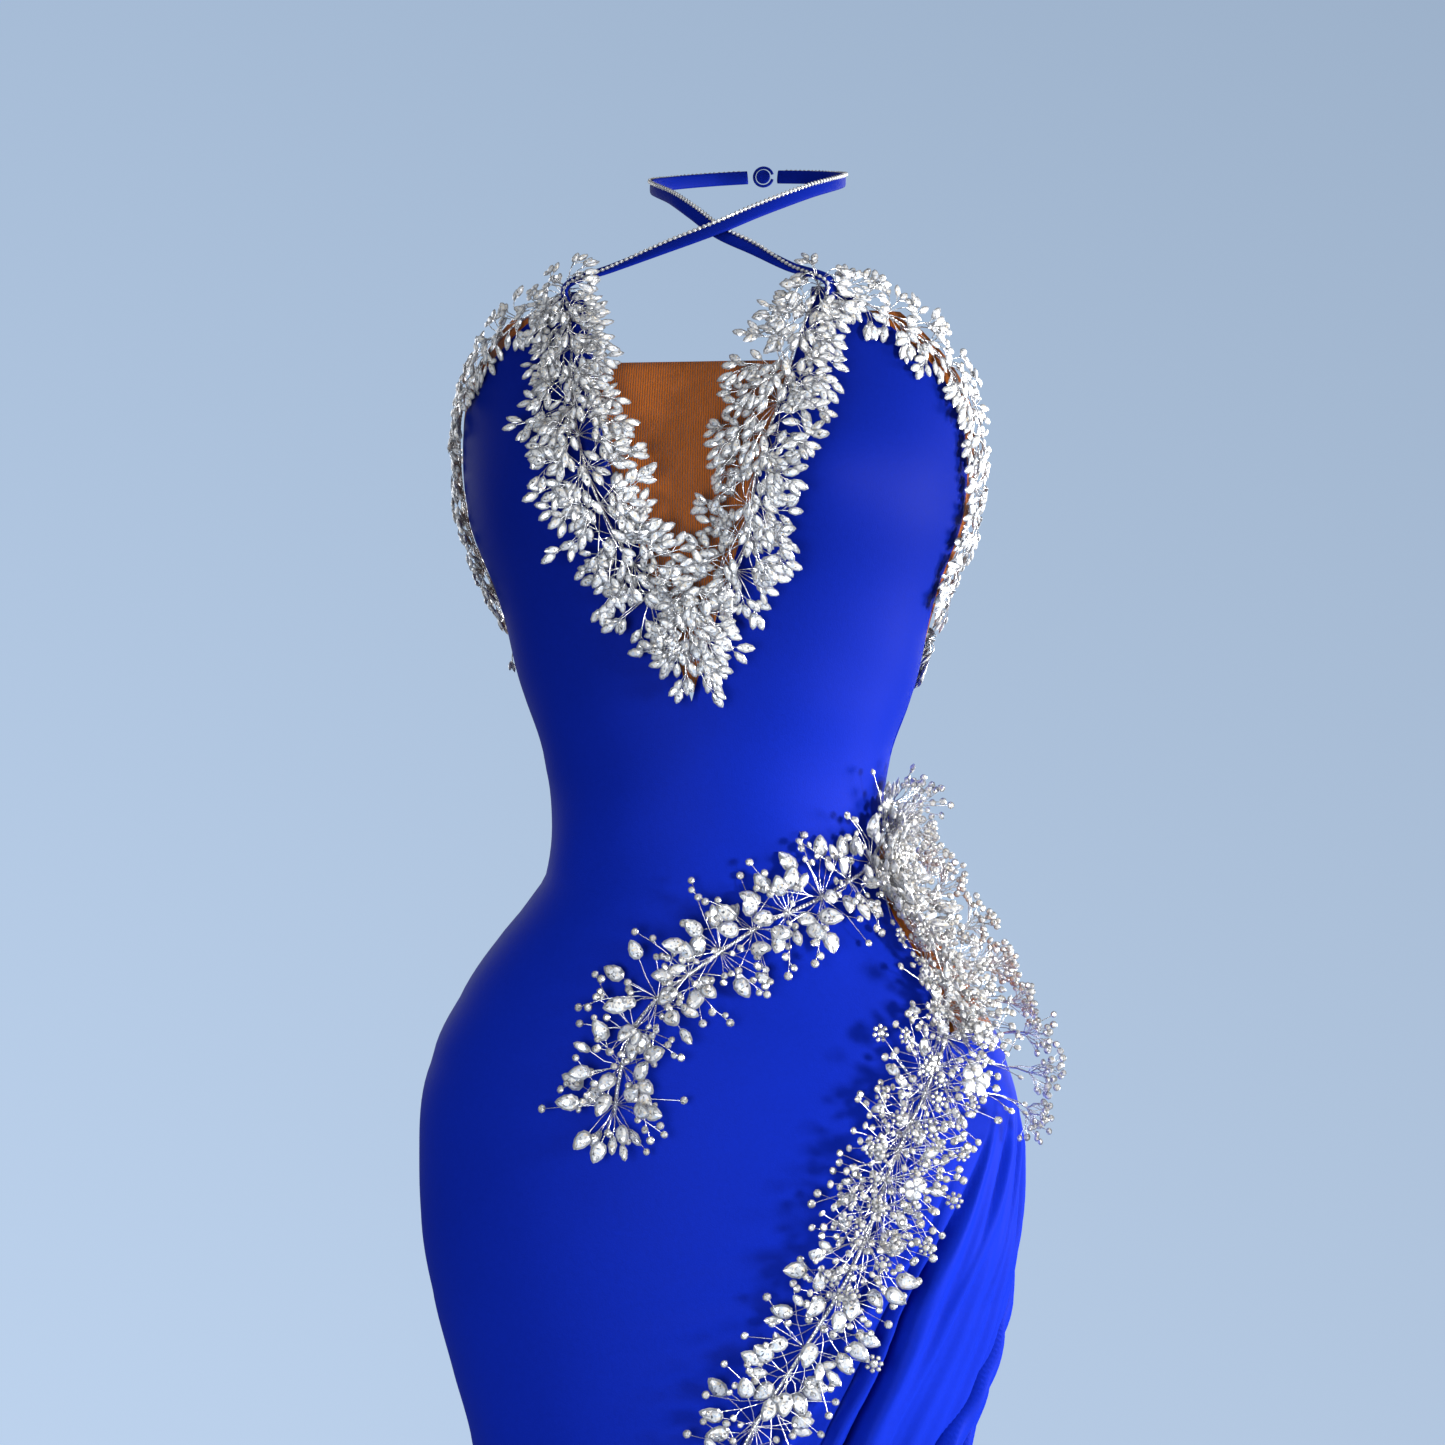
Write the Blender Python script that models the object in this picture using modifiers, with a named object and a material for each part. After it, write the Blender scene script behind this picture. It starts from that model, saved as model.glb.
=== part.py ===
"""Floor-length halter evening gown in its worn shape, hollow, with no wearer inside.

The cloth follows a body surface given by a few cross-sections. A place on it is an angle
round the body (0 at the centre front, + towards the wearer's left, 180 at the centre back)
and a height. The origin is the middle of the waist, the front faces -Y, metres, +Z up.
"""
import math

import bmesh
import bpy
from mathutils import Matrix, Vector

# Driving sizes of the body surface: height, half width, front depth, back depth.
ZIP_TOP_Z = 0.020
ZIP_TOP_DEPTH = 0.077
ZIP_SLOPE = 0.218
HEM_Z = -1.030
BODY_SECTIONS = (
    (0.310, 0.124, 0.060, 0.066),
    (0.260, 0.140, 0.076, 0.078),
    (0.215, 0.150, 0.084, 0.083),
    (0.170, 0.147, 0.087, 0.084),
    (0.115, 0.128, 0.086, 0.081),
    (0.060, 0.113, 0.083, 0.078),
    (0.020, 0.100, 0.080, None),
    (-0.010, 0.097, 0.079, None),
    (-0.040, 0.099, 0.081, None),
    (-0.058, 0.110, 0.083, None),
    (-0.080, 0.128, 0.087, None),
    (-0.116, 0.152, 0.093, None),
    (-0.151, 0.168, 0.098, None),
    (-0.205, 0.176, 0.102, 0.1205),
    (-0.240, 0.175, 0.103, 0.119),
    (-0.285, 0.168, 0.101, 0.112),
    (-0.331, 0.156, 0.098, 0.104),
    (-0.375, 0.144, 0.095, 0.099),
    (-0.450, 0.133, 0.092, 0.095),
    (-0.560, 0.128, 0.092, 0.097),
    (-0.700, 0.138, 0.102, 0.112),
    (-0.860, 0.166, 0.128, 0.146),
    (-1.060, 0.208, 0.168, 0.200),
)
BUST_X = 0.072
BUST_Z = 0.185
BUST_RISE = 0.027
BUST_REACH_X = 0.046
BUST_REACH_Z = 0.052

# Cut lines of the cloth, as (height, angle in degrees).
SEAM_ANGLE = 92.0
NECK_EDGE = ((0.290, 29.5), (0.232, 21.5), (0.174, 15.0), (0.116, 8.4), (0.056, 0.0))
ARMHOLE_EDGE = ((0.290, 37.5), (0.277, 45.0), (0.262, 55.0), (0.232, 70.0), (0.195, 79.0),
                (0.150, 83.0), (0.110, 87.0), (0.085, SEAM_ANGLE))
CUTOUT_TOP_Z = -0.012
CUTOUT_LOW_Z = -0.129
CUTOUT_FRONT = ((CUTOUT_TOP_Z, SEAM_ANGLE), (-0.035, 80.0), (-0.058, 71.0), (-0.095, 65.0),
                (CUTOUT_LOW_Z, 62.0))
CUTOUT_BACK = ((CUTOUT_TOP_Z, SEAM_ANGLE), (-0.035, 106.0), (-0.058, 114.0), (-0.095, 122.0),
               (CUTOUT_LOW_Z, 126.0), (HEM_Z, 126.0))
VINE_SEAM = ((CUTOUT_LOW_Z, 62.0), (-0.168, 50.5), (-0.206, 42.0), (-0.238, 35.5), (-0.276, 28.0),
             (-0.315, 20.5), (-0.353, 12.0), (-0.395, 6.0), (-0.440, 3.0), (HEM_Z, 3.0))
SLIT_TOP_Z = -0.440
SLIT_HEM_ANGLE = 24.0
BACK_TOP_SIDE_Z = 0.085
BACK_FLAT_Z = -0.030

# The heights of the cloth's rows, shared by neighbours so that their seams match.
V_TIP_Z = 0.056
ROWS = (0.290, 0.277, 0.262, 0.247, 0.232, 0.213, 0.195, 0.174, 0.150, 0.130, 0.110, 0.085,
        V_TIP_Z, 0.030, 0.008, CUTOUT_TOP_Z, -0.030, -0.045, -0.058, -0.076, -0.095, -0.112,
        CUTOUT_LOW_Z, -0.150, -0.168, -0.190, -0.206, -0.238, -0.276, -0.315, -0.353, -0.395,
        SLIT_TOP_Z, -0.500, -0.580, -0.680, -0.800, -0.920, HEM_Z)

# Cloth thicknesses, and how far each layer lies from the outer face of the cloth.
CREPE = 0.0012
MESH = 0.0006
LINING = 0.0007
FOAM = 0.0035
LINING_LIFT = -0.0021
BONE_LIFT = -0.0048
CUP_LIFT = -0.0052
TAPE_LIFT = -0.0034
STAY_LIFT = -0.0070
TRIM_LIFT = 0.0022
BUST_TRIM_LIFT = 0.0042
GAP = 0.0006
SEAM_GAP = 0.15

# Inside: the cups' place and size, the bones' angle, top and bottom, the waist stay.
CUP_CENTRE = 0.086
CUP_HALF_WIDTH = 0.042
CUP_HALF_HEIGHT = 0.048
BONES = (("front", 33.0, 0.110, -0.058), ("side", 88.0, 0.072, -0.004),
         ("back", 160.0, 0.022, -0.060))
BONE_HALF_ANGLE = 2.0
BONE = 0.0011
STAY = 0.0012
STAY_HALF_WIDTH = 0.009
STAY_END_ANGLE = 176.5
HOOK_SIZE = Vector((0.0046, 0.0008, 0.0060))
HOOK_HALF_GAP = 0.0030

# Zip fastener down the centre back.
ZIP_LENGTH = 0.195
ZIP_HALF_GAP = 0.0016
SLIDER_SIZE = Vector((0.0056, 0.0028, 0.0100))
SLIDER_START = 0.0085
SLIDER_LIFT = 0.0008
EAR_SIZE = Vector((0.0010, 0.0026, 0.0034))
EAR_OFFSET = Vector((0.0021, 0.0008, 0.0012))
PIVOT_RISE = 0.0011
PIVOT_RADIUS = 0.0007
PULLER_LENGTH = 0.020
PULLER_SIZE = Vector((0.0022, 0.0009, PULLER_LENGTH))
TAPE_REACH = (0.0019, 0.0130)
COIL_REACH = (0.0002, 0.0012)
ZIP_TAPE = 0.0005
ZIP_COIL = 0.0013

# Halter straps, as the points that they run through from the bodice to the nape.
STRAP_WIDTH = 0.0080
STRAP_THICKNESS = 0.0026
NECK_AXIS = Vector((0.010, 0.045, 0.0))
STRAP_RIGHT = ((-0.0735, -0.0640, 0.2925), (-0.050, -0.0590, 0.3015), (-0.022, -0.0530, 0.3125),
               (0.008, -0.0440, 0.3250), (0.030, -0.0270, 0.3375), (0.053, -0.0020, 0.3510),
               (0.0665, 0.0350, 0.3620), (0.0590, 0.0720, 0.3690), (0.0400, 0.0930, 0.3735),
               (0.0190, 0.1010, 0.3755))
STRAP_LEFT = ((0.0735, -0.0640, 0.2925), (0.052, -0.0570, 0.3005), (0.030, -0.0470, 0.3120),
              (0.008, -0.0360, 0.3235), (-0.009, -0.0200, 0.3370), (-0.026, 0.0020, 0.3500),
              (-0.0440, 0.0350, 0.3615), (-0.0380, 0.0720, 0.3690), (-0.0200, 0.0930, 0.3735),
              (0.0010, 0.1010, 0.3755))
CHAIN_RADIUS = 0.0013
CHAIN_GAP = 0.0004
NAPE = Vector((NECK_AXIS.x, 0.1035, 0.3760))
NAPE_BUTTON_RADIUS = 0.0042
NAPE_LOOP_RADIUS = 0.0058
NAPE_LOOP_OPENING = 30


def clear_scene():
    """Take every object out of the open scene."""
    for item in list(bpy.data.objects):
        bpy.data.objects.remove(item, do_unlink=True)


def new_material(name, color, roughness, metallic=0.0):
    """One Principled material."""
    material = bpy.data.materials.new(name)
    material.use_nodes = True
    shader = material.node_tree.nodes["Principled BSDF"]
    shader.inputs["Base Color"].default_value = (*color, 1.0)
    shader.inputs["Roughness"].default_value = roughness
    shader.inputs["Metallic"].default_value = metallic
    material.diffuse_color = (*color, 1.0)
    return material


def smooth_read(table, at):
    """Read a falling table of (height, value) at a height, as a smooth curve."""
    if at >= table[0][0]:
        return table[0][1]
    if at <= table[-1][0]:
        return table[-1][1]
    k = next(i for i in range(len(table) - 1) if table[i + 1][0] <= at)
    (z0, v0), (z1, v1) = table[k], table[k + 1]
    step = z1 - z0
    before = table[k - 1] if k > 0 else table[k]
    after = table[k + 2] if k + 2 < len(table) else table[k + 1]
    chord = (v1 - v0) / step
    m0 = limited_slope(before, table[k], chord)
    m1 = limited_slope(table[k + 1], after, chord)
    t = (at - z0) / step
    bend = t * (1 - t) * ((1 - t) * (m0 - chord) - t * (m1 - chord)) * step
    return v0 + t * (v1 - v0) + bend


def limited_slope(low, high, chord):
    """The slope at a knot: the mean of both sides, kept from overshooting."""
    if low[0] == high[0]:
        return chord
    side = (high[1] - low[1]) / (high[0] - low[0])
    if side * chord <= 0:
        return 0.0
    return math.copysign(min(abs(side), 3 * abs(chord)), chord)


def zip_depth(z):
    """How far behind the waist's middle the straight stretch of the zip lies."""
    return ZIP_TOP_DEPTH + ZIP_SLOPE * (ZIP_TOP_Z - z)


WIDTHS = tuple((row[0], row[1]) for row in BODY_SECTIONS)
FRONTS = tuple((row[0], row[2]) for row in BODY_SECTIONS)
BACKS = tuple((row[0], zip_depth(row[0]) if row[3] is None else row[3]) for row in BODY_SECTIONS)


def body_point(angle, z):
    """The point of the body surface at an angle in degrees and a height."""
    turn = math.radians(angle)
    x = smooth_read(WIDTHS, z) * math.sin(turn)
    forward = math.cos(turn)
    if forward < 0:
        return Vector((x, -smooth_read(BACKS, z) * forward, z))
    y = -smooth_read(FRONTS, z) * forward
    across = (abs(x) - BUST_X) / BUST_REACH_X
    along = (z - BUST_Z) / BUST_REACH_Z
    fade = min(1.0, forward / 0.45)
    fade = fade * fade * (3 - 2 * fade)
    y -= BUST_RISE * fade * math.exp(-across * across - along * along)
    return Vector((x, y, z))


def body_frame(angle, z):
    """The steps per degree round the body and per metre up it, and the outward normal."""
    around = (body_point(angle + 0.5, z) - body_point(angle - 0.5, z))
    up = (body_point(angle, z + 0.002) - body_point(angle, z - 0.002)) / 0.004
    return around, up, around.cross(up).normalized()


def skin(angle, z, lift=0.0):
    """A point at a distance outside the body surface."""
    return body_point(angle, z) + body_frame(angle, z)[2] * lift


def add_object(name, mesh, material, collection):
    """Put a mesh in the gown's collection under its node name."""
    item = bpy.data.objects.new(name, mesh)
    mesh.materials.append(material)
    collection.objects.link(item)
    return item


def cloth(name, grids, lift, thickness, material, collection, outward=False):
    """A sheet over grids of (angle, height) places, given its thickness by Solidify."""
    mesh = bpy.data.meshes.new(name)
    work = bmesh.new()
    for grid in grids:
        rows = [[work.verts.new(skin(angle, z, lift)) for angle, z in row] for row in grid]
        for upper, lower in zip(rows, rows[1:]):
            for k in range(len(upper) - 1):
                work.faces.new((upper[k], lower[k], lower[k + 1], upper[k + 1]))
    bmesh.ops.remove_doubles(work, verts=work.verts, dist=0.00001)
    work.to_mesh(mesh)
    work.free()
    mesh.shade_smooth()
    item = add_object(name, mesh, material, collection)
    solid = item.modifiers.new("thickness", "SOLIDIFY")
    solid.thickness = thickness
    solid.offset = 1.0 if outward else -1.0
    return item


def spread(first, last, count):
    """Evenly spaced values from first to last."""
    return [first + (last - first) * k / count for k in range(count + 1)]


def degrees_for(width, z):
    """The angle that a width across the centre line takes at a height."""
    return math.degrees(math.asin(width / smooth_read(WIDTHS, z)))


def front_limit(z):
    """The front panel's edge on the wearer's left: armhole, side seam, cut-out, then slit."""
    if z >= BACK_TOP_SIDE_Z:
        return smooth_read(ARMHOLE_EDGE, z)
    if z >= CUTOUT_TOP_Z:
        return SEAM_ANGLE
    if z >= CUTOUT_LOW_Z:
        return smooth_read(CUTOUT_FRONT, z)
    return smooth_read(VINE_SEAM, z)


def drape_limit(z):
    """The drape panel's front edge: beside the vine, and past the slit below it."""
    gap = math.degrees(GAP / smooth_read(WIDTHS, z))
    edge = smooth_read(VINE_SEAM, z) + gap
    if z < SLIT_TOP_Z:
        edge += SLIT_HEM_ANGLE * ((SLIT_TOP_Z - z) / (SLIT_TOP_Z - HEM_Z)) ** 1.3
    return edge


def back_top(angle):
    """The height of the low back's edge at an angle."""
    t = min(1.0, max(0.0, (abs(angle) - SEAM_ANGLE) / (180.0 - SEAM_ANGLE)))
    ease = t * t * (3 - 2 * t)
    return BACK_TOP_SIDE_Z + (ZIP_TOP_Z - BACK_TOP_SIDE_Z) * ease


def front_grids(rows, columns):
    """The front panel's halves, from side edge to side edge, which join below the neckline."""
    grids = []
    for side in (-1, 1):
        grid = []
        for z in rows:
            inner = smooth_read(NECK_EDGE, z)
            outer = front_limit(z) if side > 0 or z >= BACK_TOP_SIDE_Z else SEAM_ANGLE
            angles = spread(side * inner, side * (outer - SEAM_GAP), columns)
            grid.append([(angle, z) for angle in (angles if side > 0 else angles[::-1])])
        grids.append(grid)
    return grids


def zip_gap(z):
    """Half the gap between the back panels: open at the zip, closed in the seam below it."""
    return ZIP_HALF_GAP if z > ZIP_TOP_Z - ZIP_LENGTH else 0.0003


def back_grid(side, rows, columns):
    """A back panel's places from its side edge to the zip, with the low back's curved top."""
    grid = []
    for z in rows:
        outer = SEAM_ANGLE if side < 0 or z >= CUTOUT_TOP_Z else smooth_read(CUTOUT_BACK, z)
        outer += SEAM_GAP
        inner = 180.0 - degrees_for(zip_gap(z), z)
        lowered = min(1.0, max(0.0, (z - BACK_FLAT_Z) / (BACK_TOP_SIDE_Z - BACK_FLAT_Z)))
        row = []
        for angle in spread(outer, inner, columns):
            drop = (BACK_TOP_SIDE_Z - back_top(angle)) * lowered
            row.append((side * angle, z - drop))
        grid.append(row if side > 0 else row[::-1])
    return grid


def rows_between(high, low):
    """The shared rows from one height down to another."""
    return [z for z in ROWS if low - 1e-6 <= z <= high + 1e-6]


def trim_band(name, path, widths, lift, thickness, material, collection, columns=3):
    """A band of trim that follows a path over the cloth, standing out from it."""
    places = [Vector((angle, z)) for angle, z in path]
    grid = []
    for k, (angle, z) in enumerate(path):
        around, up, normal = body_frame(angle, z)
        ahead = places[min(k + 1, len(places) - 1)] - places[max(k - 1, 0)]
        run = Vector((ahead.x * around.length, ahead.y * up.length)).normalized()
        row = []
        for across in spread(-widths[k], widths[k], columns):
            row.append((angle - run.y * across / around.length, z + run.x * across / up.length))
        grid.append(row)
    cloth(name, [grid], lift, thickness, material, collection, outward=True)


def make_panels(materials, collection):
    """The crepe panels of the gown's outside."""
    crepe = materials["crepe"]
    cloth("front_panel", front_grids(ROWS, 8), 0.0, CREPE, crepe, collection)
    back_rows = rows_between(BACK_TOP_SIDE_Z, HEM_Z)
    cloth("back_panel_right", [back_grid(-1, back_rows, 7)], 0.0, CREPE, crepe, collection)
    cloth("back_panel_left", [back_grid(1, back_rows, 6)], 0.0, CREPE, crepe, collection)
    drape_rows = rows_between(CUTOUT_LOW_Z - GAP, HEM_Z)
    drape = []
    for z in [CUTOUT_LOW_Z - 2 * GAP] + drape_rows:
        edge = smooth_read(CUTOUT_BACK, z) - SEAM_GAP
        drape.append([(angle, z) for angle in spread(drape_limit(z), edge, 7)])
    cloth("hip_drape_panel", [drape], 0.0, CREPE, crepe, collection)


def make_mesh_insets(materials, collection):
    """The sheer insets: the neckline's V, the armholes' edges and the hip cut-out."""
    sheer = materials["illusion_mesh"]
    neck = []
    for z in rows_between(0.247, 0.085):
        reach = smooth_read(NECK_EDGE, z) - math.degrees(GAP / smooth_read(WIDTHS, z))
        neck.append([(angle, z) for angle in spread(-reach, reach, 4)])
    cloth("neckline_mesh", [neck], 0.0, MESH, sheer, collection)
    reaches = ((0.290, 10.0), (0.262, 12.0), (0.213, 14.0), (0.150, 13.0), (0.085, 5.0))
    for side, word in ((-1, "right"), (1, "left")):
        strip = []
        for z in rows_between(0.277, 0.110):
            edge = smooth_read(ARMHOLE_EDGE, z) + 2 * SEAM_GAP
            angles = spread(edge, edge + smooth_read(reaches, z), 2)
            row = [(side * angle, z) for angle in angles]
            strip.append(row if side > 0 else row[::-1])
        cloth("armhole_mesh_" + word, [strip], 0.0, MESH, sheer, collection)
    hip = []
    for z in rows_between(-0.030, CUTOUT_LOW_Z + 2 * GAP) + [CUTOUT_LOW_Z + GAP]:
        front = smooth_read(CUTOUT_FRONT, z) + 2 * SEAM_GAP
        back = smooth_read(CUTOUT_BACK, z) - SEAM_GAP
        hip.append([(angle, z) for angle in spread(front, back, 5)])
    cloth("hip_mesh", [hip], 0.0, MESH, sheer, collection)


def make_inside(materials, collection):
    """What holds the gown's shape inside: lining, foam cups, bones and the waist stay."""
    lining_rows = rows_between(0.277, CUTOUT_TOP_Z)
    cloth("bodice_lining", front_grids(lining_rows, 8), LINING_LIFT, LINING,
          materials["lining"], collection)
    for side, word in ((-1, "right"), (1, "left")):
        grid = []
        for step in spread(-0.92, 0.92, 6)[::-1]:
            z = BUST_Z + CUP_HALF_HEIGHT * step
            reach = CUP_HALF_WIDTH * math.sqrt(1 - step * step)
            middle = degrees_for(CUP_CENTRE, z)
            half = math.degrees(reach / smooth_read(WIDTHS, z))
            angles = spread(side * (middle - half), side * (middle + half), 6)
            grid.append([(angle, z) for angle in (angles if side > 0 else angles[::-1])])
        cloth("bust_cup_" + word, [grid], CUP_LIFT, FOAM, materials["foam"], collection)
        for place, angle, high, low in BONES:
            middle = side * angle
            strip = [[(middle - BONE_HALF_ANGLE, z), (middle + BONE_HALF_ANGLE, z)]
                     for z in spread(high, low, 5)]
            cloth("bone_" + place + "_" + word, [strip], BONE_LIFT, BONE, materials["bone"],
                  collection)
    stay = [[(angle, z) for angle in spread(-STAY_END_ANGLE, STAY_END_ANGLE, 32)]
            for z in (STAY_HALF_WIDTH, -STAY_HALF_WIDTH)]
    cloth("waist_stay", [stay], STAY_LIFT, STAY, materials["tape"], collection)


def zip_matrix(distance, lift):
    """The place at a distance down the zip: X across, Y out of the cloth, Z up the zip."""
    up = Vector((0, -ZIP_SLOPE, 1)).normalized()
    out = Vector((0, 1, ZIP_SLOPE)).normalized()
    place = Vector((0, ZIP_TOP_DEPTH, ZIP_TOP_Z)) - up * distance + out * lift
    turn = Matrix((Vector((1, 0, 0)), out, up)).transposed().to_4x4()
    return Matrix.Translation(place) @ turn


def block(name, size, matrix, material, collection, bevel=0.0003):
    """A small metal block with eased edges."""
    mesh = bpy.data.meshes.new(name)
    work = bmesh.new()
    bmesh.ops.create_cube(work, size=1.0)
    bmesh.ops.scale(work, vec=size, verts=work.verts)
    if bevel:
        bmesh.ops.bevel(work, geom=work.edges[:], offset=bevel, segments=1, affect="EDGES")
    work.to_mesh(mesh)
    work.free()
    item = add_object(name, mesh, material, collection)
    item.matrix_world = matrix
    return item


def cylinder(name, radius, length, matrix, material, collection, sides=16):
    """A pin along X."""
    mesh = bpy.data.meshes.new(name)
    work = bmesh.new()
    bmesh.ops.create_cone(work, cap_ends=True, segments=sides, radius1=radius, radius2=radius,
                          depth=length, matrix=Matrix.Rotation(math.pi / 2, 4, "Y"))
    work.to_mesh(mesh)
    work.free()
    item = add_object(name, mesh, material, collection)
    item.matrix_world = matrix
    return item


def joined(base, other):
    """Boolean union of two objects, with the second kept as a cutter."""
    union = base.modifiers.new("union", "BOOLEAN")
    union.operation = "UNION"
    union.object = other
    other.hide_render = True
    other.display_type = "WIRE"


def make_zip(materials, collection, cutters):
    """The concealed zip: tapes, coils, stops, slider and puller."""
    for side, word in ((-1, "right"), (1, "left")):
        tape = []
        coil = []
        for z in spread(ZIP_TOP_Z - 0.001, ZIP_TOP_Z - ZIP_LENGTH + 0.002, 7):
            for strip, reach in ((tape, TAPE_REACH), (coil, COIL_REACH)):
                inner, outer = degrees_for(reach[0], z), degrees_for(reach[1], z)
                row = [(side * (180 - outer), z), (side * (180 - inner), z)]
                strip.append(row if side > 0 else row[::-1])
        cloth("zip_tape_" + word, [tape], TAPE_LIFT, ZIP_TAPE, materials["zip_tape"], collection)
        cloth("zip_coil_" + word, [coil], -GAP / 2, ZIP_COIL, materials["zip_tape"], collection)
        block("zip_top_stop_" + word, Vector((0.0010, 0.0012, 0.0022)),
              zip_matrix(0.0012, 0.0010) @ Matrix.Translation((side * 0.0008, 0, 0)),
              materials["metal"], collection, 0.0002)
    block("zip_bottom_stop", Vector((0.0048, 0.0011, 0.0030)),
          zip_matrix(ZIP_LENGTH - 0.006, 0.0018), materials["metal"], collection)
    slider_place = zip_matrix(SLIDER_START, SLIDER_LIFT + SLIDER_SIZE.y / 2)
    slider = block("zip_slider", SLIDER_SIZE, slider_place, materials["metal"], collection,
                   0.0006)
    for side in (-1, 1):
        offset = Matrix.Translation((side * EAR_OFFSET.x, SLIDER_SIZE.y / 2 + EAR_OFFSET.y,
                                     EAR_OFFSET.z))
        ear = block("slider_ear_cutter", EAR_SIZE, slider_place @ offset, materials["metal"],
                    cutters, 0.0)
        joined(slider, ear)
    pivot = slider_place @ Matrix.Translation((0, SLIDER_SIZE.y / 2 + PIVOT_RISE, EAR_OFFSET.z))
    pin = cylinder("zip_puller", PIVOT_RADIUS, 0.0026, pivot, materials["metal"], collection, 12)
    tab = block("puller_tab_cutter", PULLER_SIZE,
                pivot @ Matrix.Translation((0, 0, -PULLER_LENGTH / 2)), materials["metal"],
                cutters, 0.0)
    joined(pin, tab)


def make_hooks(materials, collection):
    """The hook and eye above the zip, the stay's hook and eye, and the nape's button."""
    def inner_place(z, x, lift):
        place = skin(180.0, z, lift)
        return Matrix.Translation(Vector((x, place.y, z)))

    for x, word in ((-HOOK_HALF_GAP, "hook"), (HOOK_HALF_GAP, "eye")):
        block("top_" + word, HOOK_SIZE, inner_place(0.0120, x, -0.0048), materials["metal"],
              collection)
        block("stay_" + word, HOOK_SIZE, inner_place(0.0, x, -0.0100), materials["metal"],
              collection)


def smooth_path(points, steps):
    """A Catmull-Rom curve through the points, with a number of steps between two."""
    knots = [Vector(point) for point in points]
    ends = [knots[0] * 2 - knots[1]] + knots + [knots[-1] * 2 - knots[-2]]
    path = []
    for k in range(1, len(ends) - 2):
        a, b, c, d = ends[k - 1:k + 3]
        for step in range(steps):
            t = step / steps
            path.append(0.5 * ((2 * b) + (c - a) * t + (2 * a - 5 * b + 4 * c - d) * t * t
                               + (3 * b - a - 3 * c + d) * t ** 3))
    path.append(knots[-1])
    return path


def strap_frames(path):
    """At each point of a strap: its place, the way across it and the way out of it."""
    frames = []
    for k, place in enumerate(path):
        run = (path[min(k + 1, len(path) - 1)] - path[max(k - 1, 0)]).normalized()
        away = Vector((place.x - NECK_AXIS.x, place.y - NECK_AXIS.y, 0.0)).normalized()
        rise = max(0.0, 0.9 - (place.z - STRAP_RIGHT[0][2]) / 0.08)
        away = (away + Vector((0, 0, rise))).normalized()
        across = away.cross(run).normalized()
        frames.append((place, across, run.cross(across).normalized()))
    return frames


def strap(name, points, material, collection):
    """A flat strap with rounded edges, lofted along its route."""
    mesh = bpy.data.meshes.new(name)
    work = bmesh.new()
    half, thick = STRAP_WIDTH / 2, STRAP_THICKNESS
    outline = ((-half, 0.3), (-half * 0.75, 0.0), (half * 0.75, 0.0), (half, 0.3),
               (half, 0.7), (half * 0.75, 1.0), (-half * 0.75, 1.0), (-half, 0.7))
    rings = []
    for place, across, out in strap_frames(smooth_path(points, 3)):
        rings.append([work.verts.new(place + across * u + out * (v * thick))
                      for u, v in outline])
    for first, second in zip(rings, rings[1:]):
        for k in range(len(outline)):
            j = (k + 1) % len(outline)
            work.faces.new((first[k], first[j], second[j], second[k]))
    work.faces.new(rings[0][::-1])
    work.faces.new(rings[-1])
    bmesh.ops.recalc_face_normals(work, faces=work.faces)
    work.to_mesh(mesh)
    work.free()
    mesh.shade_smooth()
    return add_object(name, mesh, material, collection)


def wire(name, path, radius, material, collection):
    """A round wire along a path."""
    curve = bpy.data.curves.new(name, "CURVE")
    curve.dimensions = "3D"
    curve.bevel_depth = radius
    curve.bevel_resolution = 1
    curve.use_fill_caps = True
    line = curve.splines.new("POLY")
    line.points.add(len(path) - 1)
    for knot, place in zip(line.points, path):
        knot.co = (*place, 1.0)
    curve.materials.append(material)
    item = bpy.data.objects.new(name, curve)
    collection.objects.link(item)
    return item


def make_straps(materials, collection):
    """The crossing halter straps, their crystal chains and the nape's button and loop."""
    for word, points in (("right", STRAP_RIGHT), ("left", STRAP_LEFT)):
        strap("strap_" + word, points, materials["crepe"], collection)
        chain = []
        for place, across, out in strap_frames(smooth_path(points, 3)):
            chain.append(place + out * (STRAP_THICKNESS + CHAIN_RADIUS + CHAIN_GAP))
        wire("strap_chain_" + word, chain[1:-1], CHAIN_RADIUS, materials["crystal"], collection)
    cylinder("nape_button", NAPE_BUTTON_RADIUS, 0.0030,
             Matrix.Translation(NAPE) @ Matrix.Rotation(math.pi / 2, 4, "Z"),
             materials["crepe"], collection, 16)
    loop = []
    for angle in spread(180 - NAPE_LOOP_OPENING, NAPE_LOOP_OPENING - 180, 14):
        turn = math.radians(angle)
        loop.append(NAPE + Vector((-math.cos(turn), 0.0, math.sin(turn))) * NAPE_LOOP_RADIUS)
    wire("nape_loop", loop, 0.0009, materials["crepe"], collection)


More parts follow.
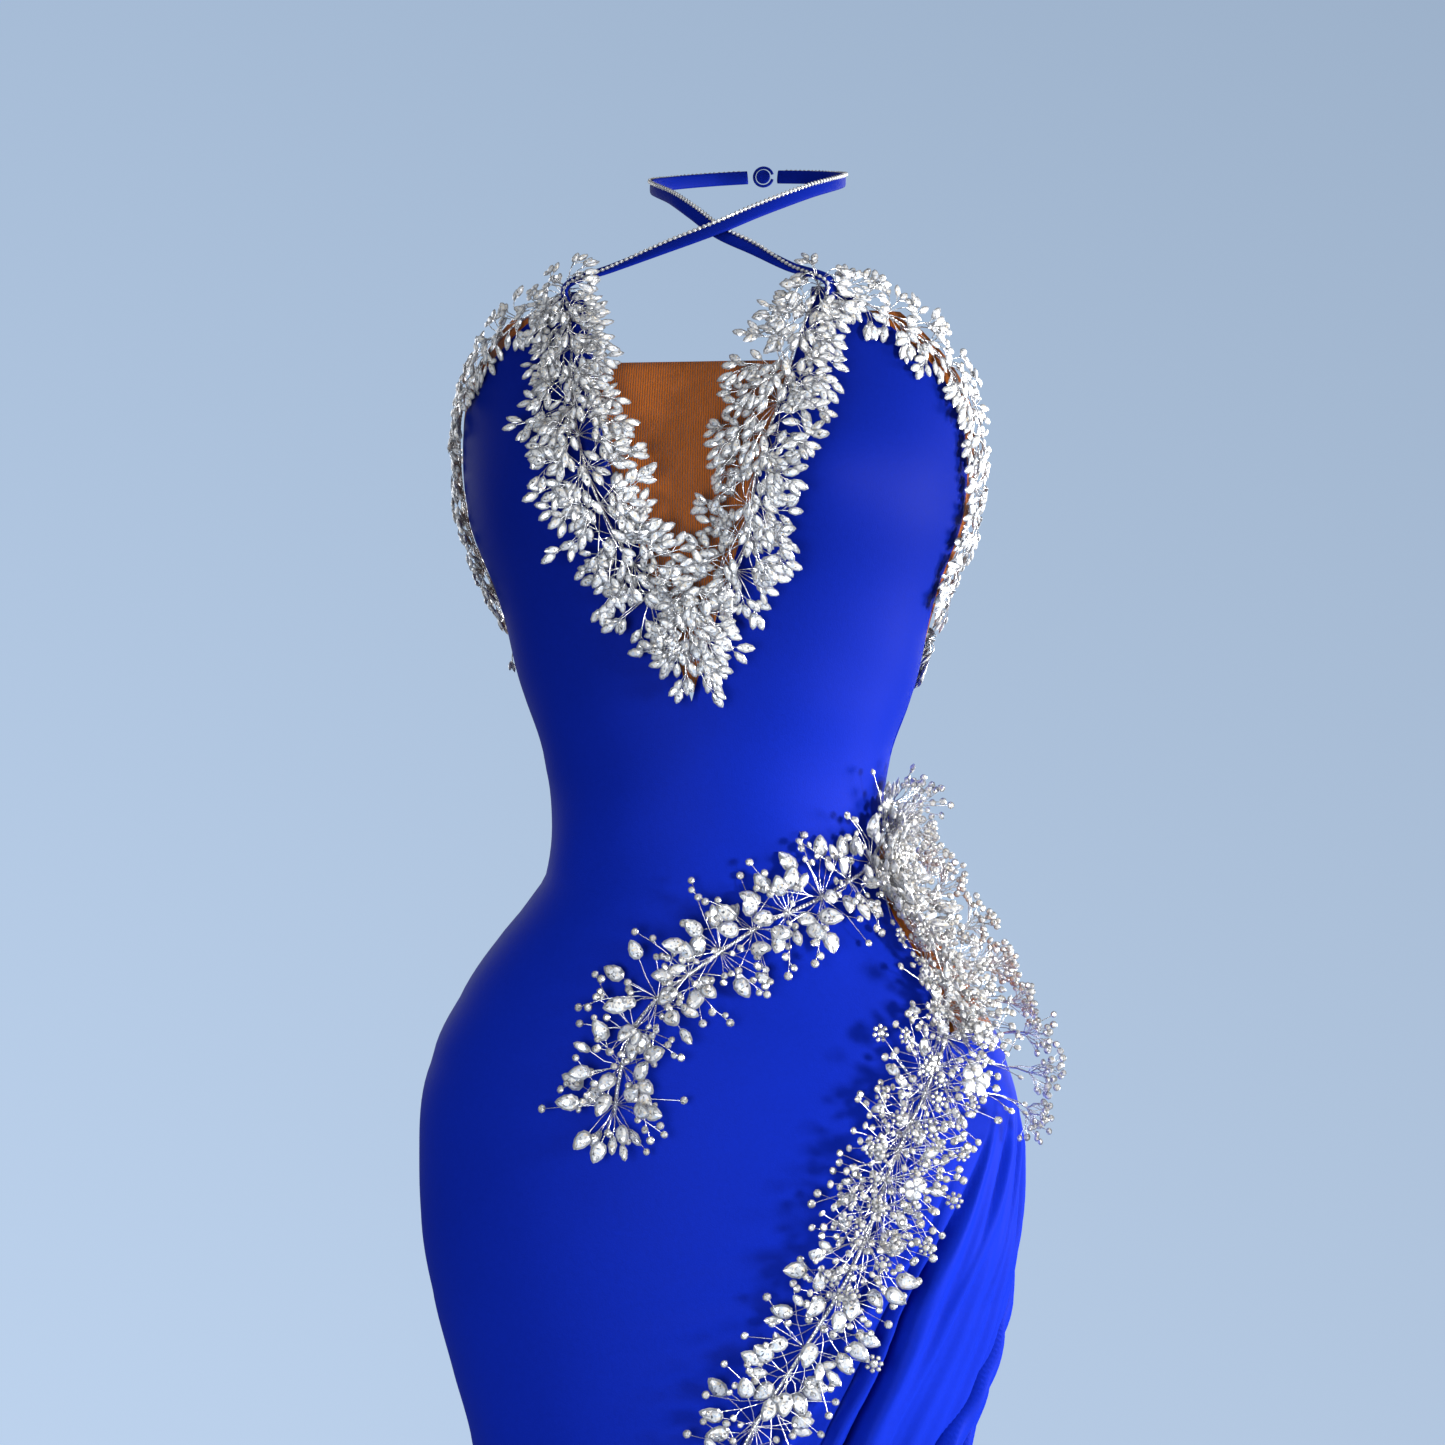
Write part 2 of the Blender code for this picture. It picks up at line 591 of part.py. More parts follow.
def make_trims(materials, collection):
    """Crystal trim as closed bands of its real size: neckline, armholes, back and hip."""
    crystal = materials["crystal"]
    for side, word in ((-1, "right"), (1, "left")):
        def trim(name, path, widths, thickness=0.0070, lift=TRIM_LIFT):
            mirrored = [(side * angle, z) for angle, z in path]
            order = mirrored if side > 0 else mirrored[::-1]
            reach = widths if side > 0 else widths[::-1]
            trim_band(name + "_" + word, order, reach, lift, thickness, crystal, collection)

        trim("neckline_spray", ((33, 0.254), (30, 0.232), (27, 0.205), (23.5, 0.174),
                                (20, 0.145), (16, 0.118), (12, 0.095)),
             (0.020, 0.025, 0.026, 0.025, 0.023, 0.020, 0.016), lift=BUST_TRIM_LIFT)
        trim("armhole_spray", ((41, 0.2825), (51, 0.272), (66, 0.252), (79, 0.226),
                               (87, 0.195), (90, 0.165), (91, 0.135), (95, 0.108)),
             (0.006, 0.009, 0.012, 0.013, 0.013, 0.012, 0.011, 0.009))
        trim("back_spray", ((101, 0.0915), (114, 0.080), (130, 0.060), (146, 0.040),
                            (160, 0.027), (171, 0.0225)),
             (0.010, 0.011, 0.011, 0.010, 0.009, 0.006), 0.0060)
    trim_band("neckline_spray_point", ((0, 0.088), (0, 0.072), (0, 0.056), (0, 0.046)),
              (0.011, 0.018, 0.014, 0.006), TRIM_LIFT, 0.0070, crystal, collection)
    trim_band("hip_vine_front", ((58, -0.030), (44, -0.046), (30, -0.060), (16, -0.074),
                                 (3, -0.090), (-7, -0.108), (-13, -0.130), (-16, -0.158),
                                 (-15, -0.188)),
              (0.016, 0.021, 0.023, 0.023, 0.023, 0.023, 0.023, 0.023, 0.014), TRIM_LIFT,
              0.0090, crystal, collection)
    trim_band("hip_vine_side", ((92, -0.004), (87, -0.030), (85, -0.060), (84, -0.090),
                                (80, -0.118)),
              (0.020, 0.026, 0.034, 0.038, 0.036), TRIM_LIFT, 0.0280, crystal, collection, 5)
    trim_band("hip_vine_lower", ((63, -0.158), (55, -0.176), (45, -0.200), (37, -0.230),
                                 (29.5, -0.270), (22, -0.310), (14, -0.350), (8, -0.385),
                                 (5, -0.420)),
              (0.036, 0.036, 0.032, 0.028, 0.026, 0.024, 0.023, 0.020, 0.012), TRIM_LIFT,
              0.0120, crystal, collection)


def make_materials():
    """The finishes, by what each piece is made of."""
    return {
        "crepe": new_material("royal_blue_crepe", (0.004, 0.016, 0.30), 0.55),
        "illusion_mesh": new_material("nude_illusion_mesh", (0.55, 0.33, 0.19), 0.7),
        "lining": new_material("blue_power_mesh", (0.006, 0.02, 0.22), 0.8),
        "foam": new_material("cup_foam", (0.62, 0.42, 0.28), 0.9),
        "bone": new_material("covered_bone", (0.02, 0.04, 0.25), 0.7),
        "tape": new_material("stay_tape", (0.01, 0.02, 0.16), 0.75),
        "zip_tape": new_material("zip_tape", (0.004, 0.014, 0.22), 0.5),
        "metal": new_material("nickel_plate", (0.75, 0.75, 0.78), 0.25, 1.0),
        "crystal": new_material("crystal_trim", (0.85, 0.87, 0.92), 0.1, 0.3),
    }


def main():
    clear_scene()
    gown = bpy.data.collections.new("evening_gown")
    cutters = bpy.data.collections.new("cutters")
    bpy.context.scene.collection.children.link(gown)
    bpy.context.scene.collection.children.link(cutters)
    materials = make_materials()
    make_panels(materials, gown)
    make_mesh_insets(materials, gown)
    make_inside(materials, gown)
    make_zip(materials, gown, cutters)
    make_hooks(materials, gown)
    make_straps(materials, gown)
    make_trims(materials, gown)


main()
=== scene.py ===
"""Finish of a halter evening gown: cloth, sheer insets, wired crystals, straps and zip.

The body surface and the cut lines are the gown's own, in metres: a place on the cloth is an
angle round the body (0 at the centre front, + towards the wearer's left) and a height.
"""
import math
import random
from functools import lru_cache

import bmesh
import bpy
from mathutils import Matrix, Vector


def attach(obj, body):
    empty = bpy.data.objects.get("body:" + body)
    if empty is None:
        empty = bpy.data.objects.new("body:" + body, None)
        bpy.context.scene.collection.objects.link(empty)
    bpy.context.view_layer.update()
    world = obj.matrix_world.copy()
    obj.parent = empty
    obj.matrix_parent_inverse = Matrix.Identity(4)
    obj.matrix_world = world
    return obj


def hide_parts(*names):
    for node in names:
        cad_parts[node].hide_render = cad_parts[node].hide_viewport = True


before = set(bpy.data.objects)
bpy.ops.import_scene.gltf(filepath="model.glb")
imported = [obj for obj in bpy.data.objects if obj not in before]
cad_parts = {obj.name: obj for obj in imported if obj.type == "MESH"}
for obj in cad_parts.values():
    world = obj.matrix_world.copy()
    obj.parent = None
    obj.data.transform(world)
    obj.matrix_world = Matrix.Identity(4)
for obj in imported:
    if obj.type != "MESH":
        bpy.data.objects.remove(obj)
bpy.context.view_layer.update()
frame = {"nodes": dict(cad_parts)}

bl_info = {
    "name": "Evening Gown Finish",
    "version": (1, 0, 0),
    "blender": (4, 5, 0),
    "location": "View3D > Sidebar > Gown",
    "description": "Builds the cloth, crystals, straps and zip of a halter evening gown",
    "category": "Object",
}

# Body surface: height, half width, front depth, back depth (None on the zip's straight line).
ZIP_TOP_Z = 0.020
ZIP_TOP_DEPTH = 0.077
ZIP_SLOPE = 0.218
ZIP_LENGTH = 0.195
HEM_Z = -1.030
BODY_SECTIONS = (
    (0.310, 0.124, 0.060, 0.066), (0.260, 0.140, 0.076, 0.078), (0.215, 0.150, 0.084, 0.083),
    (0.170, 0.147, 0.087, 0.084), (0.115, 0.128, 0.086, 0.081), (0.060, 0.113, 0.083, 0.078),
    (0.020, 0.100, 0.080, None), (-0.010, 0.097, 0.079, None), (-0.040, 0.099, 0.081, None),
    (-0.058, 0.110, 0.083, None), (-0.080, 0.128, 0.087, None), (-0.116, 0.152, 0.093, None),
    (-0.151, 0.168, 0.098, None), (-0.205, 0.176, 0.102, 0.1205), (-0.240, 0.175, 0.103, 0.119),
    (-0.285, 0.168, 0.101, 0.112), (-0.331, 0.156, 0.098, 0.104), (-0.375, 0.144, 0.095, 0.099),
    (-0.450, 0.133, 0.092, 0.095), (-0.560, 0.128, 0.092, 0.097), (-0.700, 0.138, 0.102, 0.112),
    (-0.860, 0.166, 0.128, 0.146), (-1.060, 0.208, 0.168, 0.200),
)
BUST_X = 0.072
BUST_Z = 0.185
BUST_RISE = 0.027
BUST_REACH_X = 0.046
BUST_REACH_Z = 0.052

# Cut lines, as (height, angle in degrees).
NECK_TOP_Z = 0.290
NECK_POINT_Z = 0.056
LINING_TOP_Z = 0.277
SEAM_ANGLE = 92.0
NECK_EDGE = ((NECK_TOP_Z, 29.5), (0.232, 21.5), (0.174, 15.0), (0.116, 8.4),
             (NECK_POINT_Z, 0.0))
ARMHOLE_EDGE = ((NECK_TOP_Z, 37.5), (0.277, 45.0), (0.262, 55.0), (0.232, 70.0), (0.195, 79.0),
                (0.150, 83.0), (0.110, 87.0), (0.085, SEAM_ANGLE))
CUTOUT_TOP_Z = -0.012
CUTOUT_FRONT = ((CUTOUT_TOP_Z, SEAM_ANGLE), (-0.035, 80.0), (-0.058, 71.0), (-0.095, 65.0),
                (-0.129, 62.0))
CUTOUT_BACK = ((CUTOUT_TOP_Z, SEAM_ANGLE), (-0.035, 106.0), (-0.058, 114.0), (-0.095, 122.0),
               (-0.129, 126.0), (HEM_Z, 126.0))
VINE_SEAM = ((-0.129, 62.0), (-0.168, 50.5), (-0.206, 42.0), (-0.238, 35.5), (-0.276, 28.0),
             (-0.315, 20.5), (-0.353, 12.0), (-0.395, 6.0), (-0.440, 3.0), (HEM_Z, 3.0))
CUTOUT_LOW_Z = -0.129
SLIT_TOP_Z = -0.440
SLIT_HEM_ANGLE = 24.0
BACK_TOP_SIDE_Z = 0.085
BACK_FLAT_Z = -0.030
NECK_AXIS = Vector((0.010, 0.045, 0.0))
STRAP_RIGHT = ((-0.0735, -0.0640, 0.2925), (-0.050, -0.0590, 0.3015), (-0.022, -0.0530, 0.3125),
               (0.008, -0.0440, 0.3250), (0.030, -0.0270, 0.3375), (0.053, -0.0020, 0.3510),
               (0.0665, 0.0350, 0.3620), (0.0590, 0.0720, 0.3690), (0.0400, 0.0930, 0.3735),
               (0.0190, 0.1010, 0.3755))
STRAP_LEFT = ((0.0735, -0.0640, 0.2925), (0.052, -0.0570, 0.3005), (0.030, -0.0470, 0.3120),
              (0.008, -0.0360, 0.3235), (-0.009, -0.0200, 0.3370), (-0.026, 0.0020, 0.3500),
              (-0.0440, 0.0350, 0.3615), (-0.0380, 0.0720, 0.3690), (-0.0200, 0.0930, 0.3735),
              (0.0010, 0.1010, 0.3755))

# Inside the bodice: each layer's distance from the outer face, the cups, bones and stay.
LINING_LIFT = -0.0021
BONE_LIFT = -0.0048
CUP_LIFT = -0.0052
TAPE_LIFT = -0.0034
STAY_LIFT = -0.0070
CUP_CENTRE = 0.086
CUP_HALF_WIDTH = 0.042
CUP_HALF_HEIGHT = 0.048
CUP_EDGE = 0.0007
CUP_FOAM = 0.0048
BONES = (("front", 33.0, 0.110, -0.058), ("side", 88.0, 0.072, -0.004),
         ("back", 160.0, 0.022, -0.060))
BONE_HALF_ANGLE = 2.0
STAY_HALF_WIDTH = 0.009
STAY_END_ANGLE = 176.5

# Zip tapes, slider and puller, and the bent wire of the hooks and eyes.
TAPE_INNER = 0.0019
TAPE_OUTER = 0.013
COIL_PITCH = 0.0014
COIL_WIRE = 0.00019
HOOK_WIRE = 0.00030
HOOK_RING = 0.0010
SLIDER_SIZE = Vector((0.0056, 0.0028, 0.0100))
SLIDER_START = 0.0085
SLIDER_LIFT = 0.0008
PIVOT_RISE = 0.0011
EAR_OFFSET = Vector((0.0021, 0.0008, 0.0012))
EAR_SIZE = Vector((0.0010, 0.0026, 0.0034))

# Cloth: thicknesses, and the height below which the drape's rows are spaced wider.
SHEER_THICKNESS = 0.0005
LINING_THICKNESS = 0.0006
TAPE_THICKNESS = 0.0005
STAY_THICKNESS = 0.0010
CASING_THICKNESS = 0.0010
DRAPE_CLOSE_Z = -0.48

# Routes of the crystal work, as (angle, height).
NECKLINE_ROUTE = ((34.0, 0.289), (29.0, 0.254), (25.0, 0.217), (21.0, 0.180), (15.5, 0.145),
                  (9.0, 0.116))
NECKLINE_LEAN = (0.6, 1.0, 1.0, 1.0, 0.3, 0.0)
NECKLINE_LEAN_LEFT = 5.0
ARMHOLE_ROUTE = ((36, 0.287), (47, 0.277), (63, 0.258), (76, 0.232), (84, 0.200), (87, 0.170),
                 (88, 0.140), (92, 0.112))
BACK_ROUTE = ((99, 0.094), (114, 0.082), (130, 0.062), (146, 0.042), (160, 0.029),
              (171, 0.0235))
POINT_ROUTE = ((0, 0.122), (0.5, 0.100), (1, 0.078))
VINE_FRONT_ROUTE = ((78, -0.020), (64, -0.038), (47, -0.050), (31, -0.060), (20, -0.068),
                    (10, -0.080), (2, -0.093), (-6, -0.108), (-11, -0.128), (-12.5, -0.150),
                    (-13, -0.172))
VINE_SIDE_ROUTE = ((91, -0.002), (84, -0.024), (77, -0.050), (73, -0.078), (71, -0.106),
                   (66, -0.130))
VINE_INNER_ROUTE = ((84, -0.018), (73, -0.046), (67, -0.072), (64, -0.096), (61, -0.122))
VINE_LOWER_ROUTE = ((63, -0.118), (56, -0.137), (49, -0.158), (43, -0.180), (38.5, -0.205),
                    (35, -0.232), (29.5, -0.268), (22, -0.307), (13, -0.352), (7.5, -0.390),
                    (5, -0.420))
VINE_LIFT = 0.004

# Fans that stand out beside the hip: angle, height, upward lean and length; and the vine's
# (height, angle) that their stems grow from.
SIDE_FANS = (
    (88, -0.020, 1.0, 0.044), (94, -0.030, 0.55, 0.034), (100, -0.050, 0.35, 0.036),
    (101, -0.066, 0.15, 0.038), (102, -0.084, 0.0, 0.033), (100, -0.102, -0.2, 0.031),
    (96, -0.118, -0.45, 0.031), (108, -0.060, 0.3, 0.032), (108, -0.100, -0.2, 0.030),
    (88, -0.134, -0.3, 0.034), (82, -0.152, -0.5, 0.034), (76, -0.168, -0.8, 0.032),
)
FAN_ROOTS = ((-0.002, 91.0), (-0.024, 84.0), (-0.050, 77.0), (-0.078, 73.0), (-0.106, 71.0),
             (-0.130, 64.0), (-0.170, 52.0))

# Five-petalled flowers on the vine: angle, height and size.
FLOWERS = ((58, -0.158, 0.019), (64, -0.135, 0.014), (42, -0.212, 0.013))
FLOWER_LIFT = 0.020

# Thread, wires and glints.
THREAD_RADIUS = 0.00022
STITCH_STEP = 0.0030
STITCH_INSET = 1.6
THREAD_LIFT = 0.0001
FINE_WIRE = 0.00028
ROPE_TURNS_PER_METRE = 150.0
GLINT_SCALE = 620.0
SIDES = ((-1, "right"), (1, "left"))

# Stage: lamps as (name, place, diameter, watts, colour), and the camera.
FLOOR_RADIUS = 1.6
FLOOR_GAP = 0.012
LAMP_AIM = Vector((0, 0, -0.15))
LAMPS = (
    ("key", (2.1, -1.0, 0.0), 0.5, 60, (1.0, 0.99, 0.97)),
    ("side", (1.9, 0.40, -0.15), 0.7, 54, (1.0, 1.0, 1.0)),
    ("fill", (-0.45, -2.3, -0.20), 1.3, 33, (0.94, 0.97, 1.0)),
    ("back_right", (1.1, 2.4, 0.5), 1.4, 26, (1.0, 1.0, 1.0)),
    ("back_left", (-1.8, 1.9, 0.5), 1.4, 10, (0.95, 0.97, 1.0)),
    ("top", (0.5, -0.9, 1.9), 0.9, 8, (1.0, 1.0, 1.0)),
)
ROOM_STRENGTH = 0.24
CAMERA_AIM = Vector((0.0032, 0.0, 0.045))
CAMERA_DISTANCE = 2.2
CAMERA_TURN = math.radians(10.0)
CAMERA_LENS = 94.5

# Kinds of stone on a wire, numbered from 1.
NAVETTE, BEAD, PEAR, ROSETTE, FLOWER, CUP_STONE = range(1, 7)
STONE_NAMES = ("Navette", "Bead", "Pear", "Rosette", "Flower", "Cup Stone")


# ---------------------------------------------------------------- body surface

def limited_slope(low, high, chord):
    """The slope at a knot: the mean of both sides, kept from overshooting."""
    if low[0] == high[0]:
        return chord
    side = (high[1] - low[1]) / (high[0] - low[0])
    if side * chord <= 0:
        return 0.0
    return math.copysign(min(abs(side), 3 * abs(chord)), chord)


@lru_cache(maxsize=None)
def smooth_read(table, at):
    """Read a falling table of (height, value) at a height, as a smooth curve."""
    if at >= table[0][0]:
        return table[0][1]
    if at <= table[-1][0]:
        return table[-1][1]
    k = next(i for i in range(len(table) - 1) if table[i + 1][0] <= at)
    (z0, v0), (z1, v1) = table[k], table[k + 1]
    step = z1 - z0
    before = table[k - 1] if k > 0 else table[k]
    after = table[k + 2] if k + 2 < len(table) else table[k + 1]
    chord = (v1 - v0) / step
    m0 = limited_slope(before, table[k], chord)
    m1 = limited_slope(table[k + 1], after, chord)
    t = (at - z0) / step
    bend = t * (1 - t) * ((1 - t) * (m0 - chord) - t * (m1 - chord)) * step
    return v0 + t * (v1 - v0) + bend


def zip_depth(z):
    """How far behind the waist's middle the straight stretch of the zip lies."""
    return ZIP_TOP_DEPTH + ZIP_SLOPE * (ZIP_TOP_Z - z)


WIDTHS = tuple((row[0], row[1]) for row in BODY_SECTIONS)
FRONTS = tuple((row[0], row[2]) for row in BODY_SECTIONS)
BACKS = tuple((row[0], zip_depth(row[0]) if row[3] is None else row[3]) for row in BODY_SECTIONS)


def body_point(angle, z):
    """The point of the body surface at an angle in degrees and a height."""
    turn = math.radians(angle)
    x = smooth_read(WIDTHS, z) * math.sin(turn)
    forward = math.cos(turn)
    if forward < 0:
        return Vector((x, -smooth_read(BACKS, z) * forward, z))
    y = -smooth_read(FRONTS, z) * forward
    across = (abs(x) - BUST_X) / BUST_REACH_X
    along = (z - BUST_Z) / BUST_REACH_Z
    fade = min(1.0, forward / 0.45)
    fade = fade * fade * (3 - 2 * fade)
    y -= BUST_RISE * fade * math.exp(-across * across - along * along)
    return Vector((x, y, z))


def body_frame(angle, z):
    """The steps per degree round the body and per metre up it, and the outward normal."""
    around = (body_point(angle + 0.5, z) - body_point(angle - 0.5, z))
    up = (body_point(angle, z + 0.002) - body_point(angle, z - 0.002)) / 0.004
    return around, up, around.cross(up).normalized()


def skin(angle, z, lift=0.0):
    """A point at a distance outside the body surface."""
    return body_point(angle, z) + body_frame(angle, z)[2] * lift


def spread(first, last, count):
    """Evenly spaced values from first to last."""
    return [first + (last - first) * k / count for k in range(count + 1)]


def ease(low, high, value):
    """0 below low, 1 above high, smooth between; low may be the larger one."""
    t = min(1.0, max(0.0, (value - low) / (high - low)))
    return t * t * (3 - 2 * t)


def bump(value, centre, reach):
    """A smooth rise round a centre."""
    away = (value - centre) / reach
    return math.exp(-away * away)


def degrees_for(width, z):
    """The angle that a width across the centre line takes at a height."""
    return math.degrees(math.asin(width / smooth_read(WIDTHS, z)))


def front_limit(z):
    """The front panel's edge on the wearer's left: armhole, side seam, cut-out, then slit."""
    if z >= BACK_TOP_SIDE_Z:
        return smooth_read(ARMHOLE_EDGE, z)
    if z >= CUTOUT_TOP_Z:
        return SEAM_ANGLE
    if z >= CUTOUT_LOW_Z:
        return smooth_read(CUTOUT_FRONT, z)
    return smooth_read(VINE_SEAM, z)


def drape_limit(z):
    """The drape panel's front edge: beside the vine, and past the slit below it."""
    edge = smooth_read(VINE_SEAM, z) + 0.25
    if z < SLIT_TOP_Z:
        edge += SLIT_HEM_ANGLE * ((SLIT_TOP_Z - z) / (SLIT_TOP_Z - HEM_Z)) ** 1.3
    return edge


def back_top(angle):
    """The height of the low back's edge at an angle."""
    t = ease(SEAM_ANGLE, 180.0, abs(angle))
    return BACK_TOP_SIDE_Z + (ZIP_TOP_Z - BACK_TOP_SIDE_Z) * t


# ---------------------------------------------------------------- how the cloth lies

def flutes(angle, z):
    """Soft upright waves that grow towards the hem."""
    turn = math.radians(angle)
    wave = (0.0050 * math.sin(9 * turn + 1.3) + 0.0034 * math.sin(14 * turn + 0.4 + 3 * z)
            + 0.0028 * math.sin(5 * turn - 1.0) + 0.0012 * math.sin(23 * turn + 5 * z))
    return wave * ease(-0.50, -1.03, z)


def waist_tuck(angle, z):
    """The small roll of cloth where the side seam meets the hip cut-out."""
    return 0.0048 * bump(z, -0.0065, 0.0042) * bump(angle, 87.0, 11.0)


def vine_gathers(angle, z):
    """Short creases that run from the vine's seam into the front panel."""
    seam = smooth_read(VINE_SEAM, z)
    away = max(0.0, math.radians(seam - angle) * smooth_read(WIDTHS, z))
    band = ease(-0.135, -0.170, z) * ease(-0.520, -0.430, z)
    along = z * 1.3 + away * 0.35
    ripple = math.sin(along / 0.0052) + 0.7 * math.sin(along / 0.0031 + 1.7)
    return 0.0017 * ripple * band * math.exp(-away / 0.045) * ease(0.0, 0.004, away)


def bodice_pull(angle, z):
    """Faint diagonal pulls from the bust to the waist, as on tightly fitted cloth."""
    band = ease(0.13, 0.05, z) * ease(-0.10, -0.02, z)
    return 0.0005 * band * math.sin(z * 95 + math.radians(abs(angle)) * 4.5)


def bust_round(angle, z):
    """The cups' rounding of the front panel, either side of the neckline."""
    return 0.0052 * bump(abs(angle), 50.0, 17.0) * bump(z, BUST_Z + 0.004, 0.050)


def front_lay(angle, z):
    """How far the front panel stands off the body surface."""
    rest = flutes(angle, z) + vine_gathers(angle, z) + bodice_pull(angle, z)
    rest += bust_round(angle, z)
    return rest + (waist_tuck(angle, z) if angle > 0 else 0.0)


def back_lay(angle, z):
    """How far a back panel stands off the body surface."""
    return flutes(angle, z) + (waist_tuck(angle, z) if 0 < angle < 130 else 0.0)


# Folds of the hip drape: where each lies across the panel, as (height, share of the width),
# its half width, how far its ridge stands out and how deep the valley in front of it is.
DRAPE_FOLDS = (
    (((-0.20, 0.075), (-0.33, 0.080), (-0.60, 0.085)), 0.020, 0.0045, 0.0050),
    (((-0.20, 0.185), (-0.28, 0.165), (-0.36, 0.190), (-0.60, 0.180)), 0.022, 0.0036, 0.0070),
    (((-0.20, 0.290), (-0.27, 0.225), (-0.36, 0.262), (-0.60, 0.260)), 0.036, 0.0078, 0.0200),
    (((-0.24, 0.420), (-0.30, 0.370), (-0.36, 0.355), (-0.60, 0.340)), 0.030, 0.0014, 0.0012),
    (((-0.22, 0.860), (-0.27, 0.780), (-0.31, 0.690), (-0.35, 0.580), (-0.39, 0.490),
      (-0.45, 0.430), (-0.60, 0.410)), 0.046, 0.0050, 0.0200),
    (((-0.22, 0.960), (-0.30, 0.840), (-0.36, 0.690), (-0.42, 0.570), (-0.60, 0.510)),
     0.036, 0.0032, 0.0130),
    (((-0.30, 0.980), (-0.38, 0.760), (-0.46, 0.650), (-0.60, 0.620)), 0.030, 0.0060, 0.0080),
    (((-0.34, 0.990), (-0.44, 0.830), (-0.60, 0.760)), 0.030, 0.0045, 0.0060),
    (((-0.40, 0.990), (-0.60, 0.890)), 0.028, 0.0040, 0.0045),
)

# Short pleats at the drape's top: share of the width, half width and rise.
TOP_PLEATS = ((0.34, 0.018, 0.0022), (0.47, 0.024, 0.0034), (0.59, 0.018, 0.0026),
              (0.71, 0.026, 0.0034), (0.84, 0.018, 0.0022))


def drape_lay(angle, z, v):
    """How far the drape stands off the body at a share of its width, with its long folds."""
    lay = 0.0
    start = ease(-0.160, -0.290, z)
    fade = 0.50 + 0.50 * ease(-0.85, -0.45, z)
    for places, width, ridge, valley in DRAPE_FOLDS:
        centre = smooth_read(places, z)
        grown = ease(places[0][0] + 0.03, places[0][0] - 0.09, z)
        lay += grown * ridge * bump(v, centre, width)
        lay -= grown * valley * bump(v, centre - 1.15 * width, 0.29 * width)
    fine = 0.0008 * math.sin(v * 90 - 14 * z) + 0.0007 * math.sin(v * 57 - 26 * z + 1)
    edge = 0.0030 * bump(v, 0.0, 0.05) * ease(-0.42, -0.60, z)
    pleats = ease(-0.128, -0.160, z) * ease(-0.300, -0.210, z)
    for centre, width, rise in TOP_PLEATS:
        crest = centre + 0.9 * (z + 0.13)
        pleat = bump(v, crest, width) - 0.8 * bump(v, crest - 1.3 * width, 0.5 * width)
        fine += pleats * rise * pleat / max(start, 0.2)
    return (lay * fade + fine) * start + flutes(angle, z) + edge


# ---------------------------------------------------------------- mesh helpers

def mesh_object(name, mesh, *materials):
    """A new object at the origin for a mesh."""
    item = bpy.data.objects.new(name, mesh)
    for material in materials:
        mesh.materials.append(material)
    bpy.context.scene.collection.objects.link(item)
    return item


def finished_mesh(work, name):
    """The mesh of a bmesh, which is then freed."""
    mesh = bpy.data.meshes.new(name)
    work.to_mesh(mesh)
    work.free()
    return mesh


def cloth_face(work, uv_layer, corners):
    """A smooth face from corners that are each a vertex and its place on the flat cloth."""
    face = work.faces.new([vert for vert, flat in corners])
    face.smooth = True
    for loop, (vert, flat) in zip(face.loops, corners):
        loop[uv_layer].uv = flat


def lay_grids(name, grids, lift, material, thickness, lay=None):
    """Cloth over grids of (angle, height, share) places, with a UV map in metres."""
    work = bmesh.new()
    uv_layer = work.loops.layers.uv.new("cloth")
    for grid in grids:
        lines = []
        for row in grid:
            line = []
            for place in row:
                angle, z = place[0], place[1]
                stand = lift + (lay(*place) if lay else 0.0)
                vert = work.verts.new(skin(angle, z, stand))
                line.append((vert, (math.radians(angle) * smooth_read(WIDTHS, z), z)))
            lines.append(line)
        for upper, lower in zip(lines, lines[1:]):
            for k in range(len(upper) - 1):
                cloth_face(work, uv_layer, (upper[k], lower[k], lower[k + 1], upper[k + 1]))
    bmesh.ops.remove_doubles(work, verts=work.verts, dist=0.00002)
    item = mesh_object(name, finished_mesh(work, name), material)
    solid = item.modifiers.new("thickness", "SOLIDIFY")
    solid.thickness = thickness
    solid.offset = -1.0
    solid.use_rim = True
    return item


def rows_from(high, low, step):
    """Heights from high to low at about a step."""
    return spread(high, low, max(2, round((high - low) / step)))


def front_grids(rows, columns):
    """The front panel's two halves, which meet along the centre below the neckline."""
    grids = []
    for side in (-1, 1):
        grid = []
        for z in rows:
            inner = smooth_read(NECK_EDGE, z)
            outer = front_limit(z) if side > 0 or z >= BACK_TOP_SIDE_Z else SEAM_ANGLE
            angles = spread(inner, outer - 0.06, columns)
            grid.append(on_side(side, [(angle, z) for angle in angles]))
        grids.append(grid)
    return grids


def back_grid(side, rows, columns):
    """A back panel's places from its side edge to the zip, under the low back's edge."""
    grid = []
    for z in rows:
        outer = SEAM_ANGLE if side < 0 or z >= CUTOUT_TOP_Z else smooth_read(CUTOUT_BACK, z)
        gap = 0.0009 + 0.0005 * ease(ZIP_TOP_Z - ZIP_LENGTH, ZIP_TOP_Z - ZIP_LENGTH + 0.01, z)
        if z < ZIP_TOP_Z - ZIP_LENGTH - 0.004:
            gap = 0.0001
        inner = 180.0 - degrees_for(gap, z)
        lowered = min(1.0, max(0.0, (z - BACK_FLAT_Z) / (BACK_TOP_SIDE_Z - BACK_FLAT_Z)))
        row = []
        for angle in spread(outer + 0.08, inner, columns):
            row.append((angle, z - (BACK_TOP_SIDE_Z - back_top(angle)) * lowered))
        grid.append(on_side(side, row))
    return grid


def on_side(side, row):
    """A row of (angle, height) places on the wearer's right (-1) or left (1)."""
    placed = [(side * angle, z) for angle, z in row]
    return placed if side > 0 else placed[::-1]


